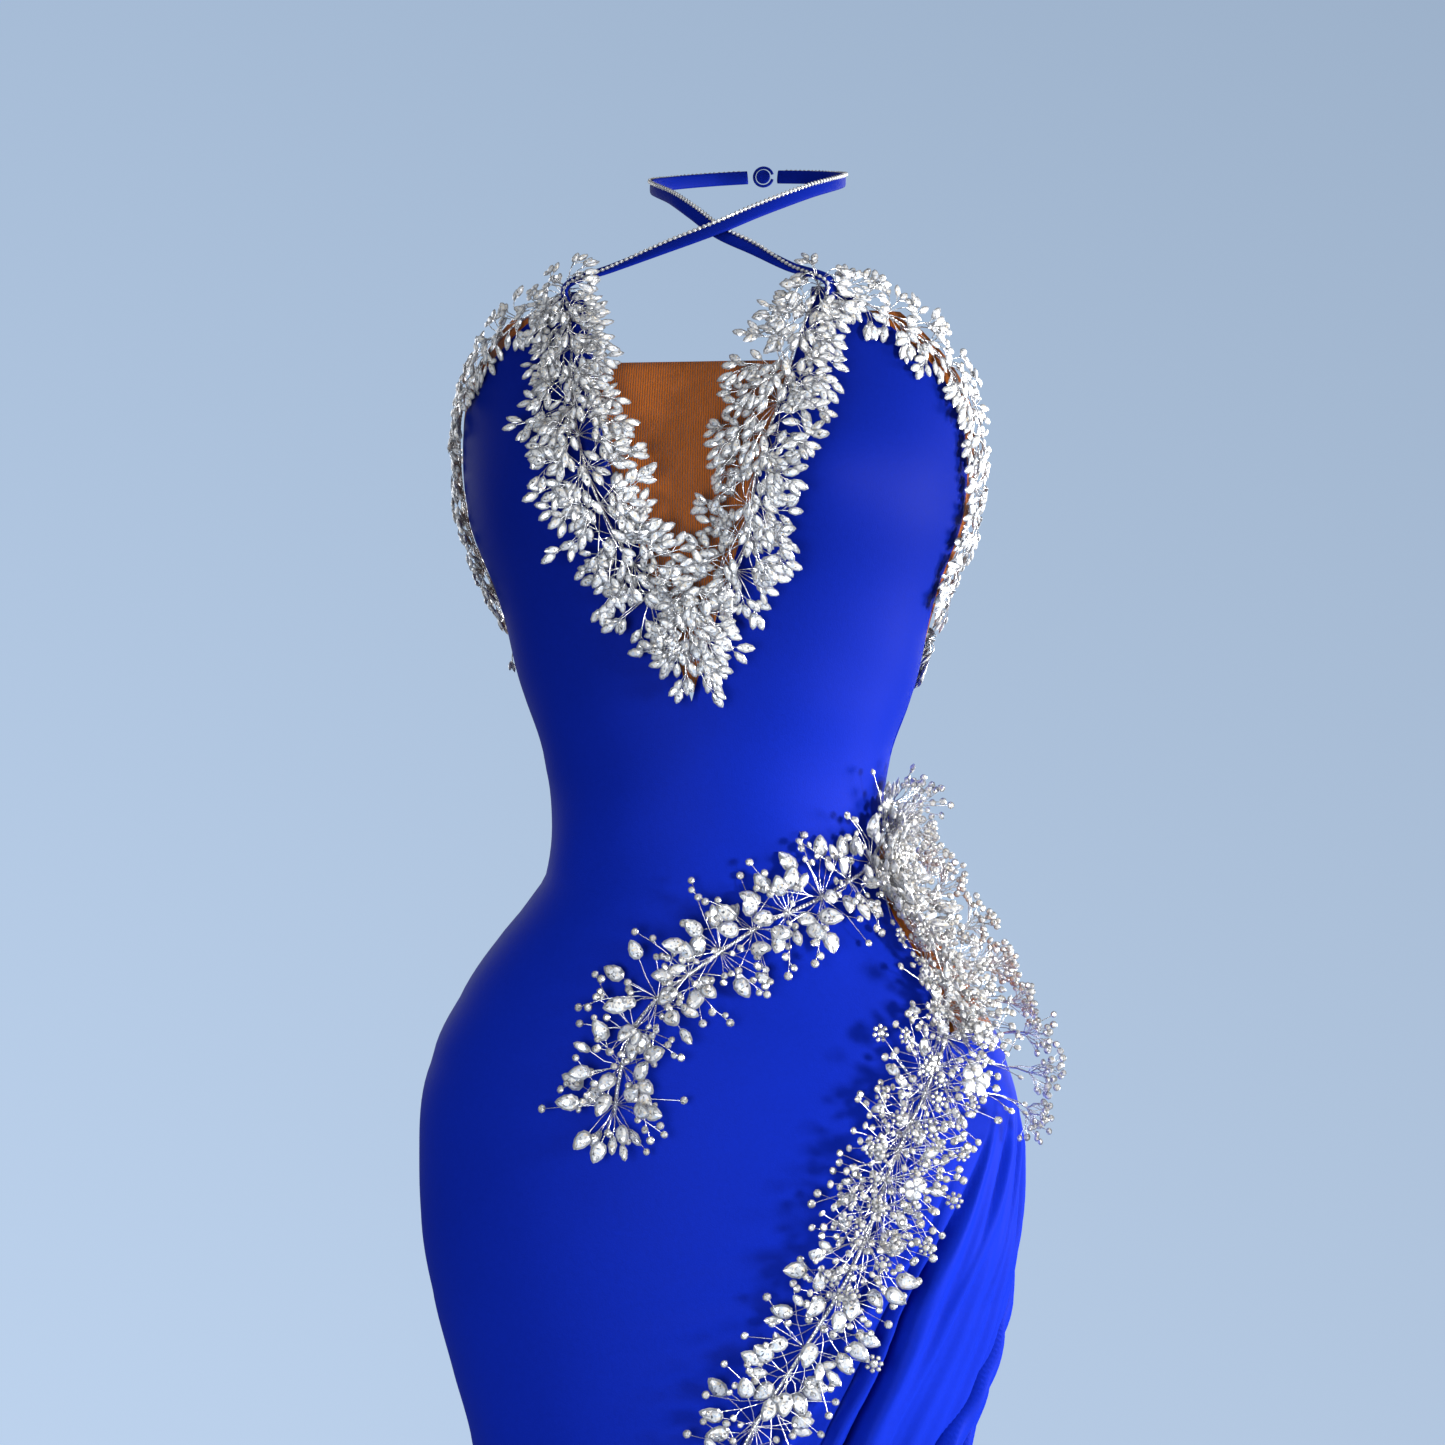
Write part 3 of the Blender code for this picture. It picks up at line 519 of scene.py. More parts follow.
def smooth_path(points, steps):
    """A Catmull-Rom curve through the points, with a number of steps between two."""
    knots = [Vector(point) for point in points]
    ends = [knots[0] * 2 - knots[1]] + knots + [knots[-1] * 2 - knots[-2]]
    path = []
    for k in range(1, len(ends) - 2):
        a, b, c, d = ends[k - 1:k + 3]
        for step in range(steps):
            t = step / steps
            path.append(0.5 * ((2 * b) + (c - a) * t + (2 * a - 5 * b + 4 * c - d) * t * t
                               + (3 * b - a - 3 * c + d) * t ** 3))
    path.append(knots[-1])
    return path


def even_path(points, spacing):
    """Points at an even spacing along a polyline."""
    out, carry = [points[0].copy()], 0.0
    for a, b in zip(points, points[1:]):
        length = (b - a).length
        at = spacing - carry
        while at <= length:
            out.append(a.lerp(b, at / length))
            at += spacing
        carry = (carry + length) % spacing
    return out


def ride_on(item, body, *nodes):
    """Ride a piece on a body and let it stand for CAD nodes."""
    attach(item, body)
    if nodes:
        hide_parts(*nodes)


def sew_sheet(name, node, grids, finish, thickness, lift=0.0, lay=None):
    item = lay_grids(name, grids, lift, finishes()[finish], thickness, lay)
    ride_on(item, "gown", node)


# ---------------------------------------------------------------- node helpers

def link(tree, source, target):
    """Join an output socket to an input socket."""
    tree.links.new(source, target)


def feed(tree, target, value):
    """Give an input socket another node's output, or a plain value of its own."""
    if isinstance(value, bpy.types.NodeSocket):
        link(tree, value, target)
    elif target.type == "RGBA":
        target.default_value = (*value[:3], 1.0)
    else:
        target.default_value = value


def make_node(tree, kind, inputs=None, **settings):
    """A node of a kind, with its settings, and its inputs by name or number."""
    node = tree.nodes.new(kind)
    for label, value in settings.items():
        setattr(node, label, value)
    for label, value in (inputs or {}).items():
        feed(tree, node.inputs[label], value)
    return node


def node_group(name, kind, inputs, outputs):
    """A node group with named sockets; returns it, its inputs and its output node."""
    tree = bpy.data.node_groups.new(name, kind)
    for label, socket_kind, default in inputs:
        socket = tree.interface.new_socket(label, in_out="INPUT",
                                           socket_type="NodeSocket" + socket_kind)
        if default is not None:
            socket.default_value = default
    for label, socket_kind in outputs:
        tree.interface.new_socket(label, in_out="OUTPUT", socket_type="NodeSocket" + socket_kind)
    return tree, tree.nodes.new("NodeGroupInput").outputs, tree.nodes.new("NodeGroupOutput")


def math_node(tree, operation, first, second=None, third=None):
    """A Math node fed by sockets or numbers; returns its output."""
    values = {k: value for k, value in enumerate((first, second, third)) if value is not None}
    return make_node(tree, "ShaderNodeMath", values, operation=operation).outputs[0]


def noise_node(tree, vector, scale, detail, roughness):
    """A noise texture on a vector; returns its factor output."""
    node = make_node(tree, "ShaderNodeTexNoise", {"Detail": detail, "Roughness": roughness,
                                                  "Vector": vector, "Scale": scale})
    return node.outputs["Fac"]


def mix_color(tree, factor, first, second, blend="MIX"):
    """A colour mix; returns its result output."""
    node = make_node(tree, "ShaderNodeMix", {0: factor, 6: first, 7: second}, data_type="RGBA",
                     blend_type=blend)
    return node.outputs[2]


def cloth_grain_group():
    """Crepe and jersey grain: a pebbled height and a slow change of shade."""
    tree, given, result = node_group(
        "Cloth Grain", "ShaderNodeTree",
        [("Vector", "Vector", None), ("Grain Scale", "Float", 1400.0),
         ("Shade Scale", "Float", 9.0)],
        [("Height", "Float"), ("Shade", "Float")])
    grain = noise_node(tree, given["Vector"], given["Grain Scale"], 2.0, 0.6)
    coarse = math_node(tree, "MULTIPLY", given["Grain Scale"], 0.31)
    pebble = noise_node(tree, given["Vector"], coarse, 2.0, 0.5)
    shade = noise_node(tree, given["Vector"], given["Shade Scale"], 2.0, 0.5)
    height = math_node(tree, "MULTIPLY_ADD", pebble, 0.6, grain)
    link(tree, height, result.inputs["Height"])
    link(tree, shade, result.inputs["Shade"])
    return tree


def rib_group():
    """Fine parallel ribs: a height and a mask of the gaps between the ribs."""
    tree, given, result = node_group(
        "Fine Ribs", "ShaderNodeTree",
        [("Coordinate", "Float", 0.0), ("Ribs per Metre", "Float", 700.0),
         ("Wobble", "Float", 0.0)],
        [("Height", "Float"), ("Gap", "Float")])
    turns = math_node(tree, "MULTIPLY", given["Coordinate"], given["Ribs per Metre"])
    turns = math_node(tree, "ADD", turns, given["Wobble"])
    wave = math_node(tree, "SINE", math_node(tree, "MULTIPLY", turns, 2 * math.pi))
    height = math_node(tree, "MULTIPLY_ADD", wave, 0.5, 0.5)
    gap = math_node(tree, "POWER", math_node(tree, "SUBTRACT", 1.0, height), 2.0)
    link(tree, height, result.inputs["Height"])
    link(tree, gap, result.inputs["Gap"])
    return tree


def painted_facet_reflection_group():
    """Painted reflections of cut crystal: each facet's colour, from near black to white with pale
    blue and champagne tints, and its roughness, from the facet's own random number.
    """
    tree, given, result = node_group(
        "Facet Play", "ShaderNodeTree",
        [("Facet", "Float", 0.5), ("Rim", "Float", 0.0), ("Warmth", "Float", 0.3)],
        [("Color", "Color"), ("Roughness", "Float")])
    # Painted reflections: the ramp gives each facet a brightness from near black to white, as if it
    # reflected dark and bright surroundings.
    ramp = make_node(tree, "ShaderNodeValToRGB", {"Fac": given["Facet"]})
    ramp.color_ramp.interpolation = "CONSTANT"
    stops = ((0.0, (0.12, 0.13, 0.15)), (0.06, (0.40, 0.42, 0.46)), (0.14, (0.72, 0.75, 0.80)),
             (0.25, (0.88, 0.88, 0.88)), (0.55, (0.64, 0.75, 0.92)), (0.66, (0.90, 0.88, 0.83)),
             (0.78, (0.84, 0.74, 0.58)), (0.87, (0.64, 0.66, 0.70)), (0.95, (0.28, 0.30, 0.34)))
    ramp.color_ramp.elements[0].position = 0.0
    ramp.color_ramp.elements[1].position = 0.06
    for k, (position, color) in enumerate(stops):
        element = ramp.color_ramp.elements[k] if k < 2 else ramp.color_ramp.elements.new(position)
        element.color = (*color, 1.0)
    warm = mix_color(tree, given["Warmth"], ramp.outputs["Color"], (1.0, 0.94, 0.84), "MULTIPLY")
    rim = math_node(tree, "MULTIPLY", given["Rim"], 0.80)
    link(tree, mix_color(tree, rim, warm, (0.24, 0.25, 0.28)), result.inputs["Color"])
    rough = math_node(tree, "MULTIPLY_ADD", given["Facet"], 0.20, 0.10)
    link(tree, rough, result.inputs["Roughness"])
    return tree


def new_material(name, **values):
    """A material with its Principled BSDF set by socket name; returns both and the tree."""
    material = bpy.data.materials.new(name)
    material.use_nodes = True
    tree = material.node_tree
    shader = tree.nodes["Principled BSDF"]
    fill(tree, shader, **values)
    return material, tree, shader


def fill(tree, node, **values):
    """Feed a node's inputs by name, with an underscore for each space."""
    for label, value in values.items():
        feed(tree, node.inputs[label.replace("_", " ")], value)


def place_group(tree, group, **values):
    """Put a shader group in a tree; returns its outputs."""
    node = make_node(tree, "ShaderNodeGroup", node_tree=group)
    fill(tree, node, **values)
    return node.outputs


def add_bump(tree, shader, height, strength, distance):
    """Feed a height to the shader's normal."""
    node = make_node(tree, "ShaderNodeBump", {"Strength": strength, "Distance": distance,
                                              "Height": height})
    link(tree, node.outputs["Normal"], shader.inputs["Normal"])


def object_vector(tree):
    """The object coordinates."""
    return make_node(tree, "ShaderNodeTexCoord").outputs["Object"]


def uv_axes(tree):
    """The two axes of the cloth's own UV map, in metres: round the body and along it."""
    source = make_node(tree, "ShaderNodeUVMap", uv_map="cloth")
    split = make_node(tree, "ShaderNodeSeparateXYZ", {0: source.outputs["UV"]})
    return split.outputs[0], split.outputs[1]


def face_number(tree, name):
    """A number stored on each face."""
    return make_node(tree, "ShaderNodeAttribute", attribute_name=name).outputs["Fac"]


def shaded(color, share):
    """A colour at a share of its brightness."""
    return tuple(share * channel for channel in color)


def crepe_material(name, settings, grain, light, dark, sheen):
    """Matte stretch crepe: pebbled, with a soft sheen, and with painted shade that mixes it towards
    a very dark blue higher up, from just below the waist to the bust.
    """
    material, tree, shader = new_material(name, Sheen_Weight=sheen, Sheen_Roughness=0.45,
                                          Sheen_Tint=(0.10, 0.30, 1.0), Specular_IOR_Level=0.025)
    cloth = place_group(tree, grain, Vector=object_vector(tree),
                        Grain_Scale=1.0 / settings.grain_size)
    tone = math_node(tree, "MULTIPLY_ADD", cloth["Height"], 0.45, -0.1)
    tone = math_node(tree, "MULTIPLY_ADD", cloth["Shade"], 0.5, tone)
    # Painted shade: from just below the waist up to the bust, the cloth is mixed more and more
    # towards a very dark blue.
    split = make_node(tree, "ShaderNodeSeparateXYZ", {0: object_vector(tree)})
    lined = math_node(tree, "MULTIPLY_ADD", split.outputs[2], 2.6, 0.12)
    lined = math_node(tree, "MINIMUM", math_node(tree, "MAXIMUM", lined, 0.0), 0.50)
    body = mix_color(tree, lined, mix_color(tree, tone, dark, light), shaded(dark, 0.25))
    fill(tree, shader, Base_Color=body,
         Roughness=math_node(tree, "MULTIPLY_ADD", cloth["Height"], 0.10, 0.48))
    add_bump(tree, shader, cloth["Height"], 0.30, 0.0003)
    return material


def sheer_material(settings, ribs, grain):
    """Nude illusion mesh: fine upright ribs with see-through gaps."""
    material, tree, shader = new_material("nude_illusion_mesh", Roughness=0.7,
                                          Sheen_Weight=0.04, Specular_IOR_Level=0.06)
    uneven = place_group(tree, grain, Vector=object_vector(tree), Grain_Scale=900.0,
                         Shade_Scale=14.0)["Height"]
    rib = place_group(tree, ribs, Ribs_per_Metre=1.0 / settings.rib_size,
                      Coordinate=uv_axes(tree)[0], Wobble=math_node(tree, "MULTIPLY", uneven, 0.35))
    light = settings.nude_color
    holes = math_node(tree, "MULTIPLY", rib["Gap"], uneven)
    fill(tree, shader, Base_Color=mix_color(tree, rib["Height"], shaded(light, 0.34), light),
         Alpha=math_node(tree, "MULTIPLY_ADD", holes, -0.35, 0.99))
    add_bump(tree, shader, rib["Height"], 0.5, 0.0003)
    return material


def ribbed_material(name, color, ribs, count, axis=0, strength=0.6):
    """Woven or knitted tape with close ribs, and finer ones across them."""
    material, tree, shader = new_material(name, Sheen_Weight=0.2, Specular_IOR_Level=0.3)
    axes = uv_axes(tree)
    main = place_group(tree, ribs, Ribs_per_Metre=count, Coordinate=axes[axis])["Height"]
    cross = place_group(tree, ribs, Ribs_per_Metre=count * 0.8,
                        Coordinate=axes[1 - axis])["Height"]
    height = math_node(tree, "MULTIPLY_ADD", cross, 0.4, main)
    tone = math_node(tree, "MULTIPLY", height, 0.72)
    fill(tree, shader, Base_Color=mix_color(tree, tone, shaded(color, 0.45), color),
         Roughness=math_node(tree, "MULTIPLY_ADD", height, -0.08, 0.76))
    add_bump(tree, shader, height, strength, 0.0003)
    return material


def foam_material(grain):
    """Fabric-faced moulded foam."""
    material, tree, shader = new_material("cup_foam", Sheen_Weight=0.4, Specular_IOR_Level=0.2)
    face = place_group(tree, grain, Vector=object_vector(tree), Grain_Scale=1900.0,
                       Shade_Scale=30.0)
    fill(tree, shader,
         Base_Color=mix_color(tree, face["Height"], (0.42, 0.27, 0.17), (0.66, 0.46, 0.32)),
         Roughness=math_node(tree, "MULTIPLY_ADD", face["Shade"], 0.15, 0.76))
    add_bump(tree, shader, face["Height"], 0.4, 0.0003)
    return material


def metal_material(name, color, grain, low=0.14, high=0.34):
    """Plated metal with faint handling marks."""
    material, tree, shader = new_material(name, Metallic=1.0)
    marks = place_group(tree, grain, Vector=object_vector(tree), Grain_Scale=2600.0,
                        Shade_Scale=220.0)
    fill(tree, shader, Base_Color=mix_color(tree, marks["Shade"], shaded(color, 0.62), color),
         Roughness=math_node(tree, "MULTIPLY_ADD", marks["Shade"], high - low, low))
    add_bump(tree, shader, marks["Height"], 0.12, 0.0001)
    return material


def crystal_material(name, facets, metallic, warmth):
    """Foil-backed cut crystal with painted reflections: each facet has its own brightness and tint,
    broken by painted glints.
    """
    material, tree, shader = new_material(name, Metallic=metallic, IOR=1.62, Coat_Weight=0.35,
                                          Coat_Roughness=0.05, Specular_IOR_Level=0.8)
    # Painted glints: a fine cell pattern shifts the facet numbers, so small patches within a facet
    # take another brightness.
    glints = make_node(tree, "ShaderNodeTexVoronoi", {"Scale": GLINT_SCALE,
                                                      "Vector": object_vector(tree)})
    split = make_node(tree, "ShaderNodeSeparateColor", {"Color": glints.outputs["Color"]})
    broken = math_node(tree, "MULTIPLY_ADD", split.outputs["Red"], 0.45, face_number(tree, "facet"))
    play = place_group(tree, facets, Warmth=warmth, Rim=face_number(tree, "rim"),
                       Facet=math_node(tree, "FRACT", broken))
    fill(tree, shader, Base_Color=play["Color"], Roughness=play["Roughness"])
    return material


def floor_material(grain):
    """Plain pale painted floor."""
    material, tree, shader = new_material("pale_floor", Roughness=0.9, Specular_IOR_Level=0.0)
    paint = place_group(tree, grain, Vector=object_vector(tree), Grain_Scale=300.0,
                        Shade_Scale=1.5)
    fill(tree, shader, Base_Color=mix_color(tree, paint["Shade"], (0.31, 0.37, 0.45),
                                            (0.34, 0.40, 0.48)))
    return material


@lru_cache(maxsize=None)
def finishes():
    """Every material of the gown, built once."""
    settings = bpy.context.scene.gown_settings
    grain, ribs, facets = cloth_grain_group(), rib_group(), painted_facet_reflection_group()
    blue = settings.crepe_color
    return {
        "crepe": crepe_material("royal_blue_crepe", settings, grain, blue, shaded(blue, 0.62),
                                0.03),
        "sheer": sheer_material(settings, ribs, grain),
        "lining": ribbed_material("power_mesh", (0.012, 0.035, 0.30), ribs, 620.0),
        "foam": foam_material(grain),
        "casing": ribbed_material("bone_casing", (0.020, 0.050, 0.36), ribs, 900.0),
        "stay": ribbed_material("grosgrain", (0.012, 0.025, 0.20), ribs, 800.0, 0, 0.9),
        "zip_tape": ribbed_material("zip_tape", (0.008, 0.026, 0.34), ribs, 1500.0, 1),
        "coil": crepe_material("nylon_coil", settings, grain, (0.012, 0.040, 0.46),
                               (0.006, 0.02, 0.25), 0.05),
        "nickel": metal_material("nickel_plate", (0.80, 0.80, 0.82), grain),
        "wire": metal_material("silver_wire", (0.95, 0.95, 0.97), grain, 0.16),
        "thread": crepe_material("sewing_thread", settings, grain, (0.02, 0.06, 0.55),
                                 (0.01, 0.03, 0.3), 0.2),
        "crystal": crystal_material("cut_crystal", facets, 0.24, 0.08),
        "bead": crystal_material("cut_bead", facets, 0.50, 0.60),
        "petal": crystal_material("petal_crystal", facets, 0.20, 0.0),
        "floor": floor_material(grain),
    }


# ---------------------------------------------------------------- cut stones

def full_circle(count):
    """Evenly spaced angles round a circle."""
    return [2 * math.pi * k / count for k in range(count)]


def ring(work, outline, scale, height, turn=0):
    """A ring of vertices from an outline, scaled towards the middle."""
    count = len(outline)
    return [work.verts.new((outline[(k + turn) % count][0] * scale,
                            outline[(k + turn) % count][1] * scale, height))
            for k in range(count)]


def zigzag(work, low, high):
    """Triangular facets between two rings, the upper one half a step on."""
    count = len(low)
    faces = []
    for k in range(count):
        j = (k + 1) % count
        faces.append(work.faces.new((low[k], low[j], high[k])))
        faces.append(work.faces.new((low[j], high[j], high[k])))
    return faces


def half_step(outline):
    """An outline's mid-points."""
    count = len(outline)
    return [((outline[k][0] + outline[(k + 1) % count][0]) / 2,
             (outline[k][1] + outline[(k + 1) % count][1]) / 2) for k in range(count)]


def stone_parts(work, outline, crown, pavilion, centre=(0.0, 0.0), turn=0.0, lift=0.0):
    """One faceted stone: rim, crown, table and back, at a place in the plane."""
    middle = half_step(outline)
    girdle = ring(work, outline, 1.0, lift)
    shoulder = ring(work, middle, 0.80, lift + 0.50 * crown)
    table = ring(work, outline, 0.42, lift + crown, 1)
    back = ring(work, middle, 0.45, lift - pavilion)
    rim = work.faces.layers.float.get("rim")
    for face in zigzag(work, girdle, shoulder):
        face[rim] = 1.0
    zigzag(work, shoulder, table)
    work.faces.new(table)
    count = len(girdle)
    for k in range(count):
        j = (k + 1) % count
        for corners in ((girdle[j], girdle[k], back[k]), (girdle[j], back[k], back[j])):
            work.faces.new(corners)[rim] = 0.6
    work.faces.new(back[::-1])
    place = Matrix.Translation((*centre, 0.0)) @ Matrix.Rotation(turn, 4, "Z")
    bmesh.ops.transform(work, matrix=place, verts=girdle + shoulder + table + back)


def pointed_outline(width, blunt, count=10):
    """A leaf outline one long in Y: blunt 0 is pointed at both ends, 1 is a pear."""
    points = []
    for turn in full_circle(count):
        x, y = -math.sin(turn), math.cos(turn)
        slim = 1 - 0.30 * y * y if y > 0 else 1 - 0.30 * y * y * (1 - blunt)
        points.append((0.5 * width * x * slim * (1 - 0.22 * blunt * y), 0.5 * y))
    return points


def round_outline(radius, count=8):
    """A regular outline."""
    return [(radius * math.cos(turn), radius * math.sin(turn)) for turn in full_circle(count)]


def cut_stone(kind):
    """The mesh object of one kind of stone, one long, with its point along +Y."""
    work = bmesh.new()
    work.faces.layers.float.new("rim")
    if kind == NAVETTE:
        stone_parts(work, pointed_outline(0.52, 0.0, 8), 0.10, 0.10)
    elif kind == PEAR:
        stone_parts(work, pointed_outline(0.68, 1.0, 10), 0.14, 0.14)
    elif kind == BEAD:
        stone_parts(work, round_outline(0.5, 8), 0.22, 0.26)
    elif kind == ROSETTE:
        stone_parts(work, round_outline(0.26, 7), 0.14, 0.10, lift=0.08)
        for turn in full_circle(7):
            centre = (0.38 * math.cos(turn), 0.38 * math.sin(turn))
            stone_parts(work, round_outline(0.155, 5), 0.10, 0.10, centre)
    elif kind == FLOWER:
        stone_parts(work, round_outline(0.10, 6), 0.10, 0.05, lift=0.08)
        for turn in full_circle(5):
            centre = (0.29 * math.cos(turn), 0.29 * math.sin(turn))
            petal = [(x * 0.46, y * 0.46) for x, y in pointed_outline(0.86, 1.0, 8)]
            stone_parts(work, petal, 0.035, 0.035, centre, turn + math.pi / 2)
    else:
        stone_parts(work, round_outline(0.42, 8), 0.20, 0.08, lift=0.10)
        stone_parts(work, round_outline(0.50, 6), 0.06, 0.26, lift=0.0)
    bmesh.ops.triangulate(work, faces=[face for face in work.faces if len(face.verts) > 4])
    return mesh_object("stone_pattern", finished_mesh(work, "stone_pattern"))


# ---------------------------------------------------------------- wired crystals in nodes

def named_attribute(tree, kind, name):
    """A Named Attribute node; returns its value output."""
    node = make_node(tree, "GeometryNodeInputNamedAttribute", {"Name": name}, data_type=kind)
    return node.outputs["Attribute"]


def new_tree(name, inputs):
    """A geometry tree with named inputs; returns it, its inputs and its output node."""
    return node_group(name, "GeometryNodeTree", [("Geometry", "Geometry", None), *inputs],
                      [("Geometry", "Geometry")])


def painted(tree, geometry, material):
    """A Set Material node; returns its geometry."""
    return make_node(tree, "GeometryNodeSetMaterial",
                     {"Geometry": geometry, "Material": material}).outputs["Geometry"]


def realized(tree, instances):
    """A Realize Instances node; returns its geometry."""
    return make_node(tree, "GeometryNodeRealizeInstances",
                     {"Geometry": instances}).outputs["Geometry"]


def spray_tree():
    """Wires from the skeleton's edges, and a cut stone on each marked vertex."""
    inputs = [("Wire Gauge", "Float", 1.0), ("Seed", "Int", 7)]
    inputs += [(label, "Material", None) for label in ("Wire", "Crystal", "Bead Finish", "Petal")]
    inputs += [(label, "Object", None) for label in STONE_NAMES]
    tree, given, result = new_tree("Wired Crystals", inputs)
    join = make_node(tree, "GeometryNodeJoinGeometry")
    gauge = math_node(tree, "MULTIPLY", named_attribute(tree, "FLOAT", "gauge"),
                      given["Wire Gauge"])
    curve = make_node(tree, "GeometryNodeMeshToCurve", {"Mesh": given["Geometry"]})
    curve = make_node(tree, "GeometryNodeSetCurveRadius",
                      {"Curve": curve.outputs["Curve"], "Radius": gauge})
    profile = make_node(tree, "GeometryNodeCurvePrimitiveCircle", {"Resolution": 4, "Radius": 1.0})
    reader = make_node(tree, "GeometryNodeInputRadius")
    tube = make_node(tree, "GeometryNodeCurveToMesh", {
        "Curve": curve.outputs["Curve"], "Profile Curve": profile.outputs["Curve"],
        "Scale": reader.outputs[0], "Fill Caps": True})
    link(tree, painted(tree, tube.outputs["Mesh"], given["Wire"]), join.inputs["Geometry"])
    kind = named_attribute(tree, "INT", "stone")
    turn = named_attribute(tree, "FLOAT_VECTOR", "turn")
    size = named_attribute(tree, "FLOAT", "size")
    finish = {"Bead": "Bead Finish", "Rosette": "Bead Finish", "Flower": "Petal"}
    for number, label in enumerate(STONE_NAMES, 1):
        pick = make_node(tree, "FunctionNodeCompare", {2: kind, 3: number}, data_type="INT",
                         operation="EQUAL")
        pattern = make_node(tree, "GeometryNodeObjectInfo", {"Object": given[label]})
        copies = make_node(tree, "GeometryNodeInstanceOnPoints", {
            "Points": given["Geometry"], "Selection": pick.outputs["Result"],
            "Instance": pattern.outputs["Geometry"], "Rotation": turn, "Scale": size})
        flat = make_node(tree, "GeometryNodeSetShadeSmooth", {
            0: realized(tree, copies.outputs["Instances"]), "Shade Smooth": False})
        stones = painted(tree, flat.outputs[0], given[finish.get(label, "Crystal")])
        link(tree, stones, join.inputs["Geometry"])
    index = make_node(tree, "GeometryNodeInputIndex").outputs[0]
    chance = make_node(tree, "FunctionNodeRandomValue", {"Seed": given["Seed"], "ID": index},
                       data_type="FLOAT")
    store = make_node(tree, "GeometryNodeStoreNamedAttribute", {
        "Geometry": join.outputs["Geometry"], "Name": "facet", "Value": chance.outputs[1]},
        data_type="FLOAT", domain="FACE")
    link(tree, realized(tree, store.outputs["Geometry"]), result.inputs["Geometry"])
    return tree


def stitch_tree():
    """Short raised stitches of thread along the skeleton's edges."""
    tree, given, result = new_tree("Stitch Row", [("Stitch Step", "Float", 0.0027),
                                                  ("Thread", "Material", None),
                                                  ("Stitch", "Object", None)])
    curve = make_node(tree, "GeometryNodeMeshToCurve", {"Mesh": given["Geometry"]})
    even = make_node(tree, "GeometryNodeResampleCurve",
                     {"Curve": curve.outputs["Curve"], "Length": given["Stitch Step"]},
                     mode="LENGTH")
    tangent = make_node(tree, "GeometryNodeInputTangent").outputs[0]
    lined = make_node(tree, "FunctionNodeAlignRotationToVector", {"Vector": tangent}, axis="Y")
    pattern = make_node(tree, "GeometryNodeObjectInfo", {"Object": given["Stitch"]})
    copies = make_node(tree, "GeometryNodeInstanceOnPoints", {
        "Points": even.outputs["Curve"], "Instance": pattern.outputs["Geometry"],
        "Rotation": lined.outputs["Rotation"]})
    stitches = painted(tree, realized(tree, copies.outputs["Instances"]), given["Thread"])
    link(tree, stitches, result.inputs["Geometry"])
    return tree


def run_tree(item, tree, values):
    """Run a geometry tree on an object with named inputs; returns the plain result."""
    modifier = item.modifiers.new("pieces", "NODES")
    modifier.node_group = tree
    for socket in tree.interface.items_tree:
        if socket.in_out == "INPUT" and socket.name in values:
            modifier[socket.identifier] = values[socket.name]
    name = item.name
    graph = bpy.context.evaluated_depsgraph_get()
    mesh = bpy.data.meshes.new_from_object(item.evaluated_get(graph))
    bpy.data.objects.remove(item, do_unlink=True)
    mesh.name = name
    return mesh_object(name, mesh)


def stitch_rows(name, rows, step):
    """One object of stitches along polylines of points."""
    mesh = bpy.data.meshes.new(name)
    places, edges = [], []
    for row in rows:
        first = len(places)
        places += row
        edges += [(k, k + 1) for k in range(first, len(places) - 1)]
    mesh.from_pydata(places, edges, [])
    work = bmesh.new()
    bmesh.ops.create_icosphere(work, subdivisions=1, radius=1.0)
    bmesh.ops.scale(work, vec=(THREAD_RADIUS, 0.38 * step, THREAD_RADIUS), verts=work.verts)
    stitch = finished_mesh(work, "stitch_pattern")
    stitch.shade_smooth()
    pattern = mesh_object("stitch_pattern", stitch)
    tree = bpy.data.node_groups.get("Stitch Row") or stitch_tree()
    result = run_tree(mesh_object(name, mesh), tree, {
        "Stitch Step": step, "Thread": finishes()["thread"], "Stitch": pattern})
    bpy.data.objects.remove(pattern, do_unlink=True)
    return result


